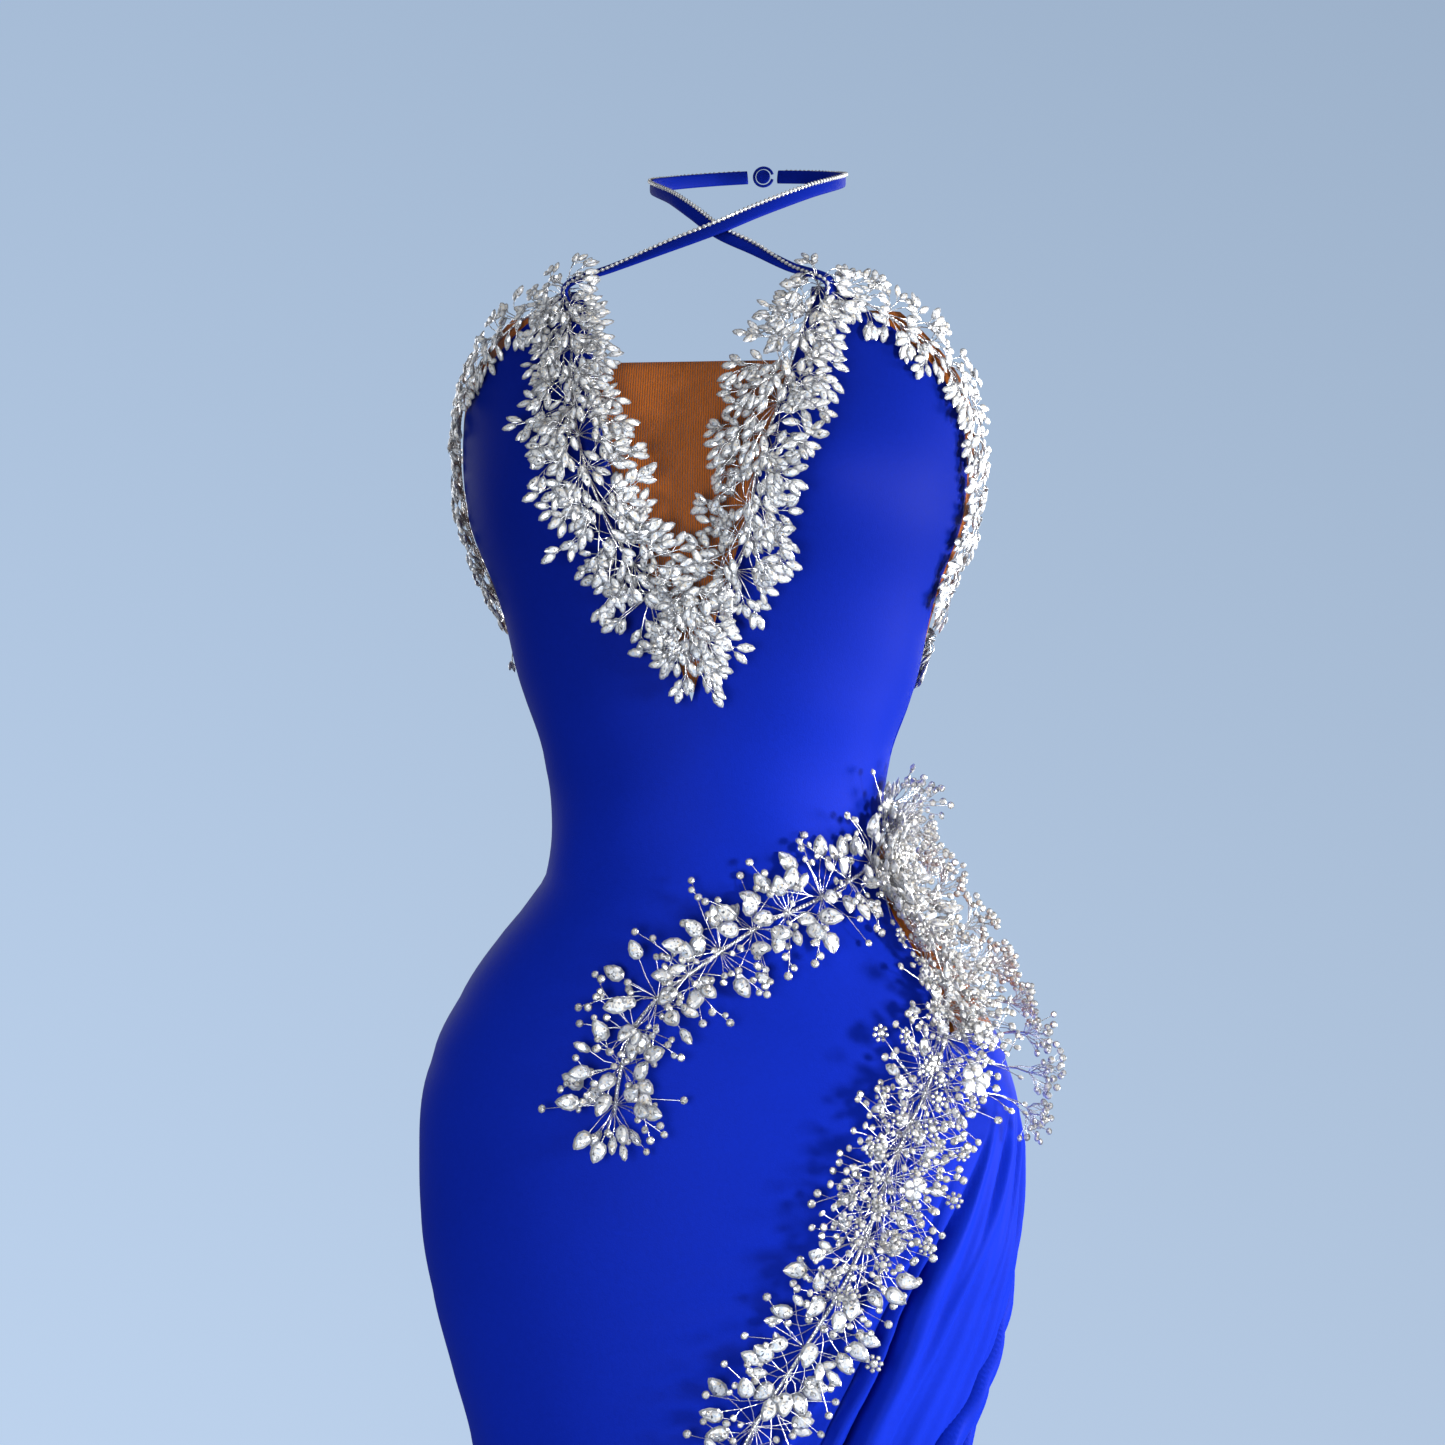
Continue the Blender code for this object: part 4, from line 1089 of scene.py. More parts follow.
class Skeleton:
    """The wires and stone places of one piece of crystal work."""

    def __init__(self, seed):
        self.places, self.edges = [], []
        self.stones, self.turns, self.sizes, self.gauges = [], [], [], []
        self.chance = random.Random(seed)

    def point(self, place, stone=0, turn=(0.0, 0.0, 0.0), size=0.0, gauge=FINE_WIRE):
        self.places.append(place)
        self.stones.append(stone)
        self.turns.append(tuple(turn))
        self.sizes.append(size)
        self.gauges.append(gauge)
        return len(self.places) - 1

    def wire(self, points, gauge=FINE_WIRE):
        """A polyline of wire; returns its last vertex."""
        previous = self.point(points[0], gauge=gauge)
        for place in points[1:]:
            current = self.point(place, gauge=gauge)
            self.edges.append((previous, current))
            previous = current
        return previous

    def stone(self, kind, tip, aim, out, size, tilt=0.0):
        """A stone that starts at a wire's tip and points along aim, its table facing out."""
        aim = aim.normalized()
        side = aim.cross(out).normalized()
        face = (side.cross(aim) + side * tilt).normalized()
        side = aim.cross(face).normalized()
        turn = Matrix((side, aim, face)).transposed().to_euler()
        reach = 0.42 if kind in (NAVETTE, PEAR, BEAD) else 0.0
        self.point(tip + aim * (size * reach), kind, turn, size)

    def build(self, name, wire="wire"):
        """The finished mesh object of wires and stones."""
        mesh = bpy.data.meshes.new(name)
        mesh.from_pydata(self.places, self.edges, [])
        for label, kind, values in (("stone", "INT", self.stones), ("size", "FLOAT", self.sizes),
                                    ("gauge", "FLOAT", self.gauges)):
            layer = mesh.attributes.new(label, kind, "POINT")
            layer.data.foreach_set("value", values)
        layer = mesh.attributes.new("turn", "FLOAT_VECTOR", "POINT")
        layer.data.foreach_set("vector", [value for turn in self.turns for value in turn])
        item = mesh_object(name, mesh)
        tree = bpy.data.node_groups.get("Wired Crystals") or spray_tree()
        finish = finishes()
        patterns = {label: cut_stone(number) for number, label in enumerate(STONE_NAMES, 1)}
        result = run_tree(item, tree, {
            "Wire Gauge": 1.0, "Seed": 7, "Wire": finish[wire], "Crystal": finish["crystal"],
            "Bead Finish": finish["bead"], "Petal": finish["petal"], **patterns})
        for pattern in patterns.values():
            bpy.data.objects.remove(pattern, do_unlink=True)
        return result


def tangent_place(angle, z, lift):
    """A point over the cloth with unit vectors round the body, up it and out of it."""
    around, up, normal = body_frame(angle, z)
    around = around.normalized()
    return body_point(angle, z) + normal * lift, around, normal.cross(around), normal


def path_places(path, spacing):
    """Evenly spaced (angle, height, run direction) along a path of (angle, height) knots."""
    knots = smooth_path([(angle, z, 0.0) for angle, z in path], 12)
    solid = [body_point(knot.x, knot.y) for knot in knots]
    places, travelled = [], 0.0
    for k in range(len(knots) - 1):
        step = (solid[k + 1] - solid[k]).length
        while travelled <= step:
            knot = knots[k].lerp(knots[k + 1], travelled / step if step else 0.0)
            places.append((knot.x, knot.y, (solid[k + 1] - solid[k]).normalized()))
            travelled += spacing
        travelled -= step
    return places


def leaf_stem(work, root, aim, out, length, leaf, rise, kind=NAVETTE):
    """A fine stem with stones on its outer half and one at its tip."""
    chance = work.chance
    side = aim.cross(out).normalized()
    bend = chance.uniform(-0.30, 0.30)

    def along(t):
        return (root + aim * (length * t) + side * (bend * length * t * t)
                + out * (rise * math.sin(2.3 * t)))

    work.wire([along(t) for t in (0.0, 0.25, 0.5, 0.75, 1.0)])
    run = (along(1.0) - along(0.85)).normalized()
    work.stone(kind, along(1.0), run, out, leaf * chance.uniform(0.9, 1.1),
               chance.uniform(-0.3, 0.3))
    hand = chance.choice((-1, 1))
    for t in (0.84, 0.66, 0.44):
        if t * length < leaf * 0.75 or chance.random() < 0.55 - 0.5 * t:
            continue
        hand = -hand
        swing = chance.uniform(0.40, 0.75)
        way = (run * math.cos(swing) + side * (hand * math.sin(swing))
               + out * chance.uniform(-0.08, 0.28)).normalized()
        tip = along(t) + way * (leaf * chance.uniform(0.25, 0.5))
        work.wire((along(t), tip))
        work.stone(kind, tip, way, out, leaf * chance.uniform(0.82, 1.05),
                   chance.uniform(-0.35, 0.35))


def bead_stem(work, root, aim, out, length, bead, kinds):
    """A fine stem with a stone at its tip and now and then a bead on a side wire."""
    chance = work.chance
    side = aim.cross(out).normalized()
    kind = chance.choice(kinds)
    if kind in (PEAR, NAVETTE):
        length *= 0.62
    middle = root + aim * (length * 0.5) + out * chance.uniform(0.0, 0.003)
    middle += side * chance.uniform(-0.002, 0.002)
    tip = root + aim * length
    work.wire((root, middle, tip), 0.00026)
    scale = {BEAD: 1.0, PEAR: 2.9, NAVETTE: 2.5, ROSETTE: 2.0}[kind]
    work.stone(kind, tip, aim, out, bead * scale * chance.uniform(0.88, 1.1),
               chance.uniform(-0.3, 0.3))
    if kind == BEAD and chance.random() < 0.55:
        way = (aim + side * chance.choice((-0.7, 0.7)) + out * chance.uniform(0, 0.5)).normalized()
        end = middle + way * (bead * chance.uniform(0.9, 1.6))
        work.wire((middle, end), 0.00024)
        work.stone(BEAD, end, way, out, bead * chance.uniform(0.8, 1.0))


def burst(work, place, run, out, count, reach, bead, kinds, swings=(-165, 165), lift=(0.0, 0.5)):
    """Stems that radiate from one place, evenly spaced with some chance."""
    low, high = swings
    for n in range(count):
        swing = low + (high - low) * (n + work.chance.uniform(0.15, 0.85)) / count
        way = turned(run, out, math.radians(swing))
        way = (way - out * way.dot(out) + out * work.chance.uniform(*lift)).normalized()
        bead_stem(work, place, way, out, reach * work.chance.uniform(0.55, 1.0), bead, kinds)


def turned(direction, out, angle):
    """A direction turned about the outward normal."""
    return Matrix.Rotation(angle, 3, out) @ direction


def leaf_band(work, path, spacing, count, reach, leaf, swings, rise=(0.003, 0.012), lift=0.002):
    """Bursts of leaf stems from nodes along a path, joined by a twisted wire."""
    places = path_places(path, spacing)
    last = max(1, len(places) - 1)
    rope(work, path_places(path, 0.0012), lift, 0.0005)
    low, high = swings
    for k, (angle, z, run) in enumerate(places):
        place, around, up, out = tangent_place(angle, z, lift)
        span = smooth_read(tuple((-at, value) for at, value in reach), -k / last)
        for n in range(count):
            swing = low + (high - low) * (n + work.chance.uniform(0.1, 0.9)) / count
            way = turned(run, out, math.radians(swing))
            way = (way - out * way.dot(out)).normalized()
            forward = 0.78 + 0.22 * math.cos(math.radians(swing))
            length = span * forward * work.chance.uniform(0.45, 1.0)
            leaf_stem(work, place, way, out, length, leaf, work.chance.uniform(*rise))


def rope(work, places, lift, radius=0.0008):
    """Three wires twisted round each other along a path over the cloth."""
    line = [tangent_place(angle, z, lift) for angle, z, run in places]
    for strand in range(3):
        points, travelled = [], 0.0
        for k, (place, around, up, out) in enumerate(line):
            if k:
                travelled += (place - line[k - 1][0]).length
            run = places[k][2]
            side = run.cross(out).normalized()
            phase = 2 * math.pi * (travelled * ROPE_TURNS_PER_METRE + strand / 3)
            points.append(place + (side * math.cos(phase) + out * math.sin(phase)) * radius)
        work.wire(points, radius * 0.85)


# ---------------------------------------------------------------- settings

class GownSettings(bpy.types.PropertyGroup):
    """Sizes and colours that a user would change."""
    cloth_step: bpy.props.FloatProperty(
        name="Cloth Step", description="Distance between the cloth's vertices",
        default=0.0055, min=0.003, unit="LENGTH")
    crepe_thickness: bpy.props.FloatProperty(
        name="Crepe Thickness", description="Thickness of the blue cloth",
        default=0.0011, min=0.0004, unit="LENGTH")
    grain_size: bpy.props.FloatProperty(
        name="Grain Size", description="Size of the crepe's pebbles",
        default=0.0009, min=0.0003, unit="LENGTH")
    rib_size: bpy.props.FloatProperty(
        name="Mesh Rib Spacing", description="Distance between the sheer mesh's ribs",
        default=0.0014, min=0.0005, unit="LENGTH")
    crepe_color: bpy.props.FloatVectorProperty(
        name="Crepe Colour", description="Colour of the blue cloth",
        default=(0.004, 0.022, 0.43), min=0.0, max=1.0, subtype="COLOR")
    nude_color: bpy.props.FloatVectorProperty(
        name="Mesh Colour", description="Colour of the sheer mesh",
        default=(0.42, 0.110, 0.010), min=0.0, max=1.0, subtype="COLOR")
    leaf_length: bpy.props.FloatProperty(
        name="Leaf Stone", description="Length of the leaf-shaped stones",
        default=0.0102, min=0.004, unit="LENGTH")
    bead_size: bpy.props.FloatProperty(
        name="Bead", description="Diameter of the wired beads",
        default=0.0047, min=0.002, unit="LENGTH")
    chain_stone: bpy.props.FloatProperty(
        name="Chain Stone", description="Diameter of a stone in the straps' chains",
        default=0.0029, min=0.001, unit="LENGTH")


# ---------------------------------------------------------------- operators

class GOWN_OT_panels(bpy.types.Operator):
    """Cut and lay the blue crepe panels"""
    bl_idname = "gown.panels"
    bl_label = "Crepe Panels"

    def execute(self, context):
        settings = context.scene.gown_settings
        step, thick = settings.cloth_step, settings.crepe_thickness
        rows = rows_from(NECK_TOP_Z, NECK_POINT_Z, step)
        rows += rows_from(NECK_POINT_Z, HEM_Z, step)[1:]
        sew_sheet("front_panel_cloth", "front_panel", front_grids(rows, 46), "crepe", thick,
                  lay=front_lay)
        rows = rows_from(BACK_TOP_SIDE_Z, HEM_Z, step)
        for side, word in SIDES:
            sew_sheet("back_panel_cloth_" + word, "back_panel_" + word,
                      [back_grid(side, rows, 40)], "crepe", thick,
                      lay=back_lay)
        rows = rows_from(CUTOUT_LOW_Z - 0.001, DRAPE_CLOSE_Z, 0.5 * step)
        rows += rows_from(DRAPE_CLOSE_Z, HEM_Z, step)[1:]
        drape = []
        for z in rows:
            low, high = drape_limit(z), smooth_read(CUTOUT_BACK, z) - 0.06
            drape.append([(low + (high - low) * v, z, v) for v in spread(0.0, 1.0, 150)])
        sew_sheet("hip_drape_cloth", "hip_drape_panel", [drape], "crepe", thick,
                  lay=drape_lay)
        return {"FINISHED"}


class GOWN_OT_insets(bpy.types.Operator):
    """Lay the sheer mesh in the neckline, armholes and hip cut-out"""
    bl_idname = "gown.insets"
    bl_label = "Sheer Insets"

    def execute(self, context):
        neck = []
        for z in rows_from(0.247, 0.062, 0.005):
            reach = smooth_read(NECK_EDGE, z) - 0.05
            neck.append([(angle, z) for angle in spread(-reach, reach, 20)])
        self.inset("neckline_mesh", "", neck, -0.0002)
        reaches = ((NECK_TOP_Z, 10.0), (0.262, 12.0), (0.213, 14.0), (0.150, 13.0), (0.085, 5.0))
        for side, word in SIDES:
            strip = []
            for z in rows_from(LINING_TOP_Z, 0.088, 0.005):
                edge = smooth_read(ARMHOLE_EDGE, z) - 0.02
                angles = spread(edge, edge + smooth_read(reaches, z), 8)
                strip.append(on_side(side, [(angle, z) for angle in angles]))
            self.inset("armhole_mesh", "_" + word, strip, -0.0003)
        hip = []
        for z in rows_from(-0.018, CUTOUT_LOW_Z, 0.004):
            front = smooth_read(CUTOUT_FRONT, z) + 0.1
            back = smooth_read(CUTOUT_BACK, z) - 0.1
            hip.append([(angle, z) for angle in spread(front, back, 22)])
        self.inset("hip_mesh", "", hip, -0.0003)
        return {"FINISHED"}

    def inset(self, name, ending, grid, lift):
        """One piece of sheer mesh, tucked just under the crepe."""
        sew_sheet(name + "_cloth" + ending, name + ending, [grid], "sheer", SHEER_THICKNESS,
                  lift)


class GOWN_OT_neckline(bpy.types.Operator):
    """Grow the leaf-shaped crystals along the neckline, armholes and low back"""
    bl_idname = "gown.neckline"
    bl_label = "Leaf Crystals"

    def execute(self, context):
        leaf = context.scene.gown_settings.leaf_length
        for side, word in SIDES:
            def mirrored(path):
                return [(side * angle, z) for angle, z in path]

            work = Skeleton(11 + side)
            lean = NECKLINE_LEAN_LEFT if side > 0 else 0.0
            route = [(angle - share * lean, z)
                     for (angle, z), share in zip(NECKLINE_ROUTE, NECKLINE_LEAN)]
            leaf_band(work, mirrored(route), 0.0195, 16,
                      ((0, 0.024), (0.25, 0.035), (0.7, 0.040), (1, 0.036)), leaf,
                      (-155, 155), lift=VINE_LIFT)
            ride_on(work.build("neckline_leaves_" + word), "gown", "neckline_spray_" + word)
            work = Skeleton(31 + side)
            leaf_band(work, mirrored(ARMHOLE_ROUTE), 0.0150, 8,
                      ((0, 0.018), (0.3, 0.020), (0.6, 0.019), (1, 0.022)),
                      leaf * 0.94, (-95, 95), (0.002, 0.007))
            ride_on(work.build("armhole_leaves_" + word), "gown", "armhole_spray_" + word)
            work = Skeleton(51 + side)
            leaf_band(work, mirrored(BACK_ROUTE), 0.0150, 7,
                      ((0, 0.019), (0.6, 0.017), (1, 0.011)),
                      leaf * 0.94, (-85, 85), (0.002, 0.005))
            ride_on(work.build("back_leaves_" + word), "gown", "back_spray_" + word)
        work = Skeleton(71)
        leaf_band(work, POINT_ROUTE, 0.015, 15, ((0, 0.026), (0.5, 0.032), (1, 0.034)), leaf,
                  (-85, 85), lift=VINE_LIFT)
        ride_on(work.build("neckline_leaves_point"), "gown", "neckline_spray_point")
        return {"FINISHED"}


class GOWN_OT_vine(bpy.types.Operator):
    """Grow the hip vine's beads, pears, rosettes and flowers"""
    bl_idname = "gown.vine"
    bl_label = "Hip Vine"

    def execute(self, context):
        bead = context.scene.gown_settings.bead_size
        self.front_branch(bead)
        self.side_branch(bead)
        self.lower_branch(bead)
        return {"FINISHED"}

    def front_branch(self, bead):
        work = Skeleton(101)
        rope(work, path_places(VINE_FRONT_ROUTE, 0.0008), VINE_LIFT)
        styles = ((BEAD,), (PEAR, PEAR, NAVETTE), (BEAD, BEAD, PEAR), (PEAR, NAVETTE, PEAR))
        for k, (angle, z, run) in enumerate(path_places(VINE_FRONT_ROUTE, 0.0215)):
            place, around, up, out = tangent_place(angle, z, VINE_LIFT)
            reach = (0.034, 0.040, 0.027, 0.042, 0.031)[k % 5]
            kinds = styles[(k * 3 + 1) % 4]
            burst(work, place, run, out, 9, reach, bead, kinds, (-165, 165), (0.0, 0.40))
            burst(work, place, run, out, 6, 0.62 * reach, bead, (BEAD, BEAD, PEAR), (-150, 150),
                  (0.1, 0.7))
            for n in range(2):
                swing = math.radians((-1) ** (n + k) * work.chance.uniform(40, 110))
                way = turned(run, out, swing)
                leaf_stem(work, place, (way - out * way.dot(out)).normalized(), out,
                          work.chance.uniform(0.030, 0.042), bead, 0.006, BEAD)
        place, around, up, out = tangent_place(*VINE_FRONT_ROUTE[-1], VINE_LIFT)
        burst(work, place, -up, out, 5, 0.032, bead, (PEAR, NAVETTE), (-50, 50), (0.0, 0.3))
        ride_on(work.build("hip_vine_front_wired"), "gown", "hip_vine_front")

    def side_branch(self, bead):
        work = Skeleton(202)
        rope(work, path_places(VINE_SIDE_ROUTE, 0.0008), VINE_LIFT)
        styles = ((BEAD, BEAD, PEAR), (BEAD, NAVETTE), (BEAD, BEAD, BEAD, ROSETTE))
        for k, (angle, z, run) in enumerate(path_places(VINE_SIDE_ROUTE, 0.0125)):
            place, around, up, out = tangent_place(angle, z, VINE_LIFT)
            burst(work, place, run, out, 16, 0.031, bead, styles[k % 3], (-150, 150), (0.1, 0.9))
        for k, (angle, z, run) in enumerate(path_places(VINE_INNER_ROUTE, 0.0110)):
            place, around, up, out = tangent_place(angle, z, VINE_LIFT)
            burst(work, place, run, out, 11, 0.021, bead, styles[(k + 1) % 3], (-160, 160),
                  (0.2, 1.0))
        for angle, z, toward, length in SIDE_FANS:
            place, around, up, out = tangent_place(angle, z, 0.003)
            root = smooth_read(FAN_ROOTS, z)
            stem = [tangent_place(root + (angle - root) * t, z + 0.008 * (1 - t),
                                  0.003 + 0.004 * math.sin(math.pi * t))[0]
                    for t in spread(0.0, 1.0, 8)]
            work.wire(stem, 0.00045)
            for k in (2, 4, 6):
                way = (up * work.chance.choice((-1, 1)) + out + around * 0.4).normalized()
                bead_stem(work, stem[k], way, out, 0.5 * length, bead * 0.92, (BEAD,))
            for n in range(3):
                way = (out + up * (toward + work.chance.uniform(-0.2, 0.2))
                       + around * work.chance.uniform(-0.55, 0.25)).normalized()
                fork = place + way * (length * work.chance.uniform(0.40, 0.55))
                work.wire((place, place.lerp(fork, 0.5) + up * 0.001, fork), 0.0004)
                burst(work, fork, way, way.cross(up).normalized(), 5, length * 0.5, bead * 0.92,
                      (BEAD,), (-52, 52), (-0.3, 0.3))
        ride_on(work.build("hip_vine_side_wired"), "gown", "hip_vine_side")

    def lower_branch(self, bead):
        work = Skeleton(303)
        rope(work, path_places(VINE_LOWER_ROUTE, 0.0008), VINE_LIFT)
        places = path_places(VINE_LOWER_ROUTE, 0.0172)
        last = len(places) - 1
        for k, (angle, z, run) in enumerate(places):
            place, around, up, out = tangent_place(angle, z, VINE_LIFT)
            t = k / last
            leafy = ease(0.35, 0.62, t)
            kinds = (BEAD, BEAD, BEAD, BEAD)
            if k % 2 and leafy > 0.3:
                kinds = (PEAR, PEAR, NAVETTE)
            elif k % 3 == 0:
                kinds = (BEAD, BEAD, BEAD, BEAD, NAVETTE, ROSETTE)
            count = round(27 - 14 * leafy) if kinds[0] == BEAD else 11
            reach = (0.045, 0.034, 0.040)[k % 3] - 0.003 * leafy
            burst(work, place, run, out, count, reach, bead, kinds, (-150, 150),
                  (0.0, 0.75 - 0.3 * leafy))
            if t < 0.55:
                for n in range(2):
                    tip = place + out * work.chance.uniform(0.010, 0.016)
                    tip += around * work.chance.uniform(-0.018, 0.018)
                    tip += up * work.chance.uniform(-0.006, 0.006)
                    work.wire((place, tip), 0.0003)
                    work.stone(ROSETTE, tip, up, out, bead * work.chance.uniform(1.8, 2.3))
        for angle, z, size in FLOWERS:
            place, around, up, out = tangent_place(angle, z, FLOWER_LIFT)
            work.wire((place - out * (FLOWER_LIFT - VINE_LIFT), place))
            work.stone(FLOWER, place, up, out, size)
        ride_on(work.build("hip_vine_lower_wired"), "gown", "hip_vine_lower")


def strap_frames(path):
    """At each point of a strap: its place, the way across it and the way out of it."""
    frames = []
    for k, place in enumerate(path):
        run = (path[min(k + 1, len(path) - 1)] - path[max(k - 1, 0)]).normalized()
        away = Vector((place.x - NECK_AXIS.x, place.y - NECK_AXIS.y, 0.0)).normalized()
        rise = max(0.0, 0.9 - (place.z - STRAP_RIGHT[0][2]) / 0.08)
        away = (away + Vector((0, 0, rise))).normalized()
        across = away.cross(run).normalized()
        frames.append((place, across, run.cross(across).normalized()))
    return frames


class GOWN_OT_straps(bpy.types.Operator):
    """Sew the crossing halter straps, their stone chains and the nape's button"""
    bl_idname = "gown.straps"
    bl_label = "Halter Straps"

    def execute(self, context):
        for (side, word), points in zip(SIDES, (STRAP_RIGHT, STRAP_LEFT)):
            sewn = skin(side * 33.5, 0.281, 0.0012)
            path = smooth_path((sewn, *points), 14)
            self.rouleau("strap_cloth_" + word, path, 0.0080, 0.0026, "strap_" + word)
            self.chain(context, word, path, -side)
        nape = Vector((NECK_AXIS.x, 0.1035, 0.3760))
        self.button(nape)
        loop = [nape + Vector((-math.cos(turn), -0.0008 * math.cos(turn), math.sin(turn))) * 0.0056
                for turn in spread(math.radians(165), math.radians(-165), 40)]
        self.rouleau("nape_loop_cloth", loop, 0.0017, 0.0017, "nape_loop")
        return {"FINISHED"}

    def rouleau(self, name, path, width, thickness, node):
        """A turned-through strap with soft round edges, a lofted tube of flat section."""
        work = bmesh.new()
        uv_layer = work.loops.layers.uv.new("cloth")
        sides = 16
        rings, travelled = [], 0.0
        frames = strap_frames(path)
        for k, (place, across, out) in enumerate(frames):
            if k:
                travelled += (place - frames[k - 1][0]).length
            line = []
            for n, turn in enumerate(full_circle(sides)):
                u = math.copysign(abs(math.cos(turn)) ** 0.7, math.cos(turn))
                v = math.copysign(abs(math.sin(turn)) ** 0.8, math.sin(turn))
                point = place + across * (u * width / 2) + out * ((v + 1) * thickness / 2)
                line.append((work.verts.new(point), (n * width * 2 / sides, travelled)))
            rings.append(line)
        for first, second in zip(rings, rings[1:]):
            for n in range(sides):
                j = (n + 1) % sides
                cloth_face(work, uv_layer, (first[n], first[j], second[j], second[n]))
        work.faces.new([corner[0] for corner in rings[0]][::-1])
        work.faces.new([corner[0] for corner in rings[-1]])
        bmesh.ops.recalc_face_normals(work, faces=work.faces)
        item = mesh_object(name, finished_mesh(work, name), finishes()["crepe"])
        ride_on(item, "gown", node)

    def chain(self, context, word, path, upward):
        """Set stones in cups along the strap, low at its base and high past the crossing."""
        size = context.scene.gown_settings.chain_stone
        work = Skeleton(400)
        frames = strap_frames(path)
        line = []
        for k, (place, across, out) in enumerate(frames):
            t = k / (len(frames) - 1)
            shift = 0.0034 * upward * (2 * ease(0.10, 0.34, t) - 1)
            line.append(place + across * shift + out * 0.0031)
        spaced = even_path(line, size * 1.04)
        for k in range(1, len(spaced) - 1):
            nearest = min(frames, key=lambda frame: (frame[0] - spaced[k]).length)
            run = (spaced[k + 1] - spaced[k - 1]).normalized()
            work.stone(CUP_STONE, spaced[k], run, nearest[2], size)
        work.wire(spaced, 0.0004)
        ride_on(work.build("strap_chain_stones_" + word), "gown", "strap_chain_" + word)

    def button(self, nape):
        """A small domed button covered in the gown's cloth."""
        work = bmesh.new()
        bmesh.ops.create_uvsphere(work, u_segments=24, v_segments=12, radius=1.0)
        size = Matrix.Diagonal((0.0043, 0.0026, 0.0043, 1.0))
        turn = Matrix.Rotation(math.pi / 2, 4, "X")
        bmesh.ops.transform(work, matrix=Matrix.Translation(nape) @ size @ turn, verts=work.verts)
        for vert in work.verts:
            vert.co.y = max(vert.co.y, nape.y - 0.0012)
        bmesh.ops.recalc_face_normals(work, faces=work.faces)
        mesh = finished_mesh(work, "nape_button_cloth")
        mesh.shade_smooth()
        item = mesh_object("nape_button_cloth", mesh, finishes()["crepe"])
        ride_on(item, "gown", "nape_button")


class GOWN_OT_inside(bpy.types.Operator):
    """Fit the lining, padded cups, covered bones and waist stay"""
    bl_idname = "gown.inside"
    bl_label = "Inside of the Bodice"

    def execute(self, context):
        rows = rows_from(LINING_TOP_Z, NECK_POINT_Z, 0.008)
        rows += rows_from(NECK_POINT_Z, CUTOUT_TOP_Z, 0.008)[1:]
        sew_sheet("bodice_lining_cloth", "bodice_lining", front_grids(rows, 28), "lining",
                  LINING_THICKNESS, LINING_LIFT)
        seams = []
        for side, word in SIDES:
            self.cup(side, word)
            for place, angle, high, low in BONES:
                seams += self.bone(side * angle, high, low, "bone_" + place + "_" + word)
        stay = []
        for z in spread(STAY_HALF_WIDTH, -STAY_HALF_WIDTH, 4):
            stay.append([(angle, z) for angle in spread(-STAY_END_ANGLE, STAY_END_ANGLE, 120)])
        sew_sheet("waist_stay_tape", "waist_stay", [stay], "stay", STAY_THICKNESS,
                  STAY_LIFT)
        for z in (0.0075, -0.0075):
            seams.append([skin(angle, z, STAY_LIFT - 0.0011)
                          for angle in spread(-STAY_END_ANGLE, STAY_END_ANGLE, 160)])
        ride_on(stitch_rows("inside_stitches", seams, 0.0027), "gown")
        return {"FINISHED"}

    def cup(self, side, word):
        """A moulded cup: thick in the middle, skived to its edge, with a seam down it."""
        work = bmesh.new()
        sides, shares = 44, (0.0, 0.2, 0.4, 0.6, 0.75, 0.87, 0.95, 1.0)

        def place(share, turn, lift):
            z = BUST_Z + CUP_HALF_HEIGHT * share * math.sin(turn)
            reach = CUP_HALF_WIDTH * share * math.cos(turn)
            angle = degrees_for(CUP_CENTRE, z) + math.degrees(reach / smooth_read(WIDTHS, z))
            seam = 0.0006 * bump(reach, 0.0, 0.0014)
            return skin(side * angle, z, lift + (seam if lift < CUP_LIFT - CUP_EDGE else 0.0))

        layers = []
        for inner in (False, True):
            rings = []
            for share in shares[1:]:
                lift = CUP_LIFT
                if inner:
                    lift -= CUP_EDGE + (CUP_FOAM - CUP_EDGE) * (1 - share ** 3)
                rings.append([work.verts.new(place(share, turn, lift))
                              for turn in full_circle(sides)])
            pole = work.verts.new(place(0.0, 0.0, CUP_LIFT - (CUP_FOAM if inner else 0.0)))
            for k in range(sides):
                j = (k + 1) % sides
                work.faces.new((pole, rings[0][k], rings[0][j]))
                for small, large in zip(rings, rings[1:]):
                    work.faces.new((small[k], large[k], large[j], small[j]))
            layers.append(rings[-1])
        for k in range(sides):
            j = (k + 1) % sides
            work.faces.new((layers[0][k], layers[1][k], layers[1][j], layers[0][j]))
        bmesh.ops.recalc_face_normals(work, faces=work.faces)
        mesh = finished_mesh(work, "bust_cup_pad_" + word)
        mesh.shade_smooth()
        item = mesh_object("bust_cup_pad_" + word, mesh, finishes()["foam"])
        ride_on(item, "gown", "bust_cup_" + word)

    def bone(self, middle, high, low, node):
        """A casing with a raised middle over its bone; returns its two rows of stitching."""
        def crown(angle, z):
            across = (angle - middle) / BONE_HALF_ANGLE
            return -0.0007 * (1 - across ** 4) * ease(low, low + 0.004, z)

        strip = [[(middle + BONE_HALF_ANGLE * u, z) for u in spread(-1.0, 1.0, 8)]
                 for z in rows_from(high, low, 0.006)]
        item = lay_grids(node + "_casing", [strip], BONE_LIFT, finishes()["casing"],
                         CASING_THICKNESS, crown)
        ride_on(item, "gown", node)
        rows = []
        for hand in (-0.82, 0.82):
            angle = middle + hand * BONE_HALF_ANGLE
            rows.append([skin(angle, z, BONE_LIFT + crown(angle, z) - 0.0011)
                         for z in rows_from(high - 0.002, low + 0.002, 0.006)])
        return rows


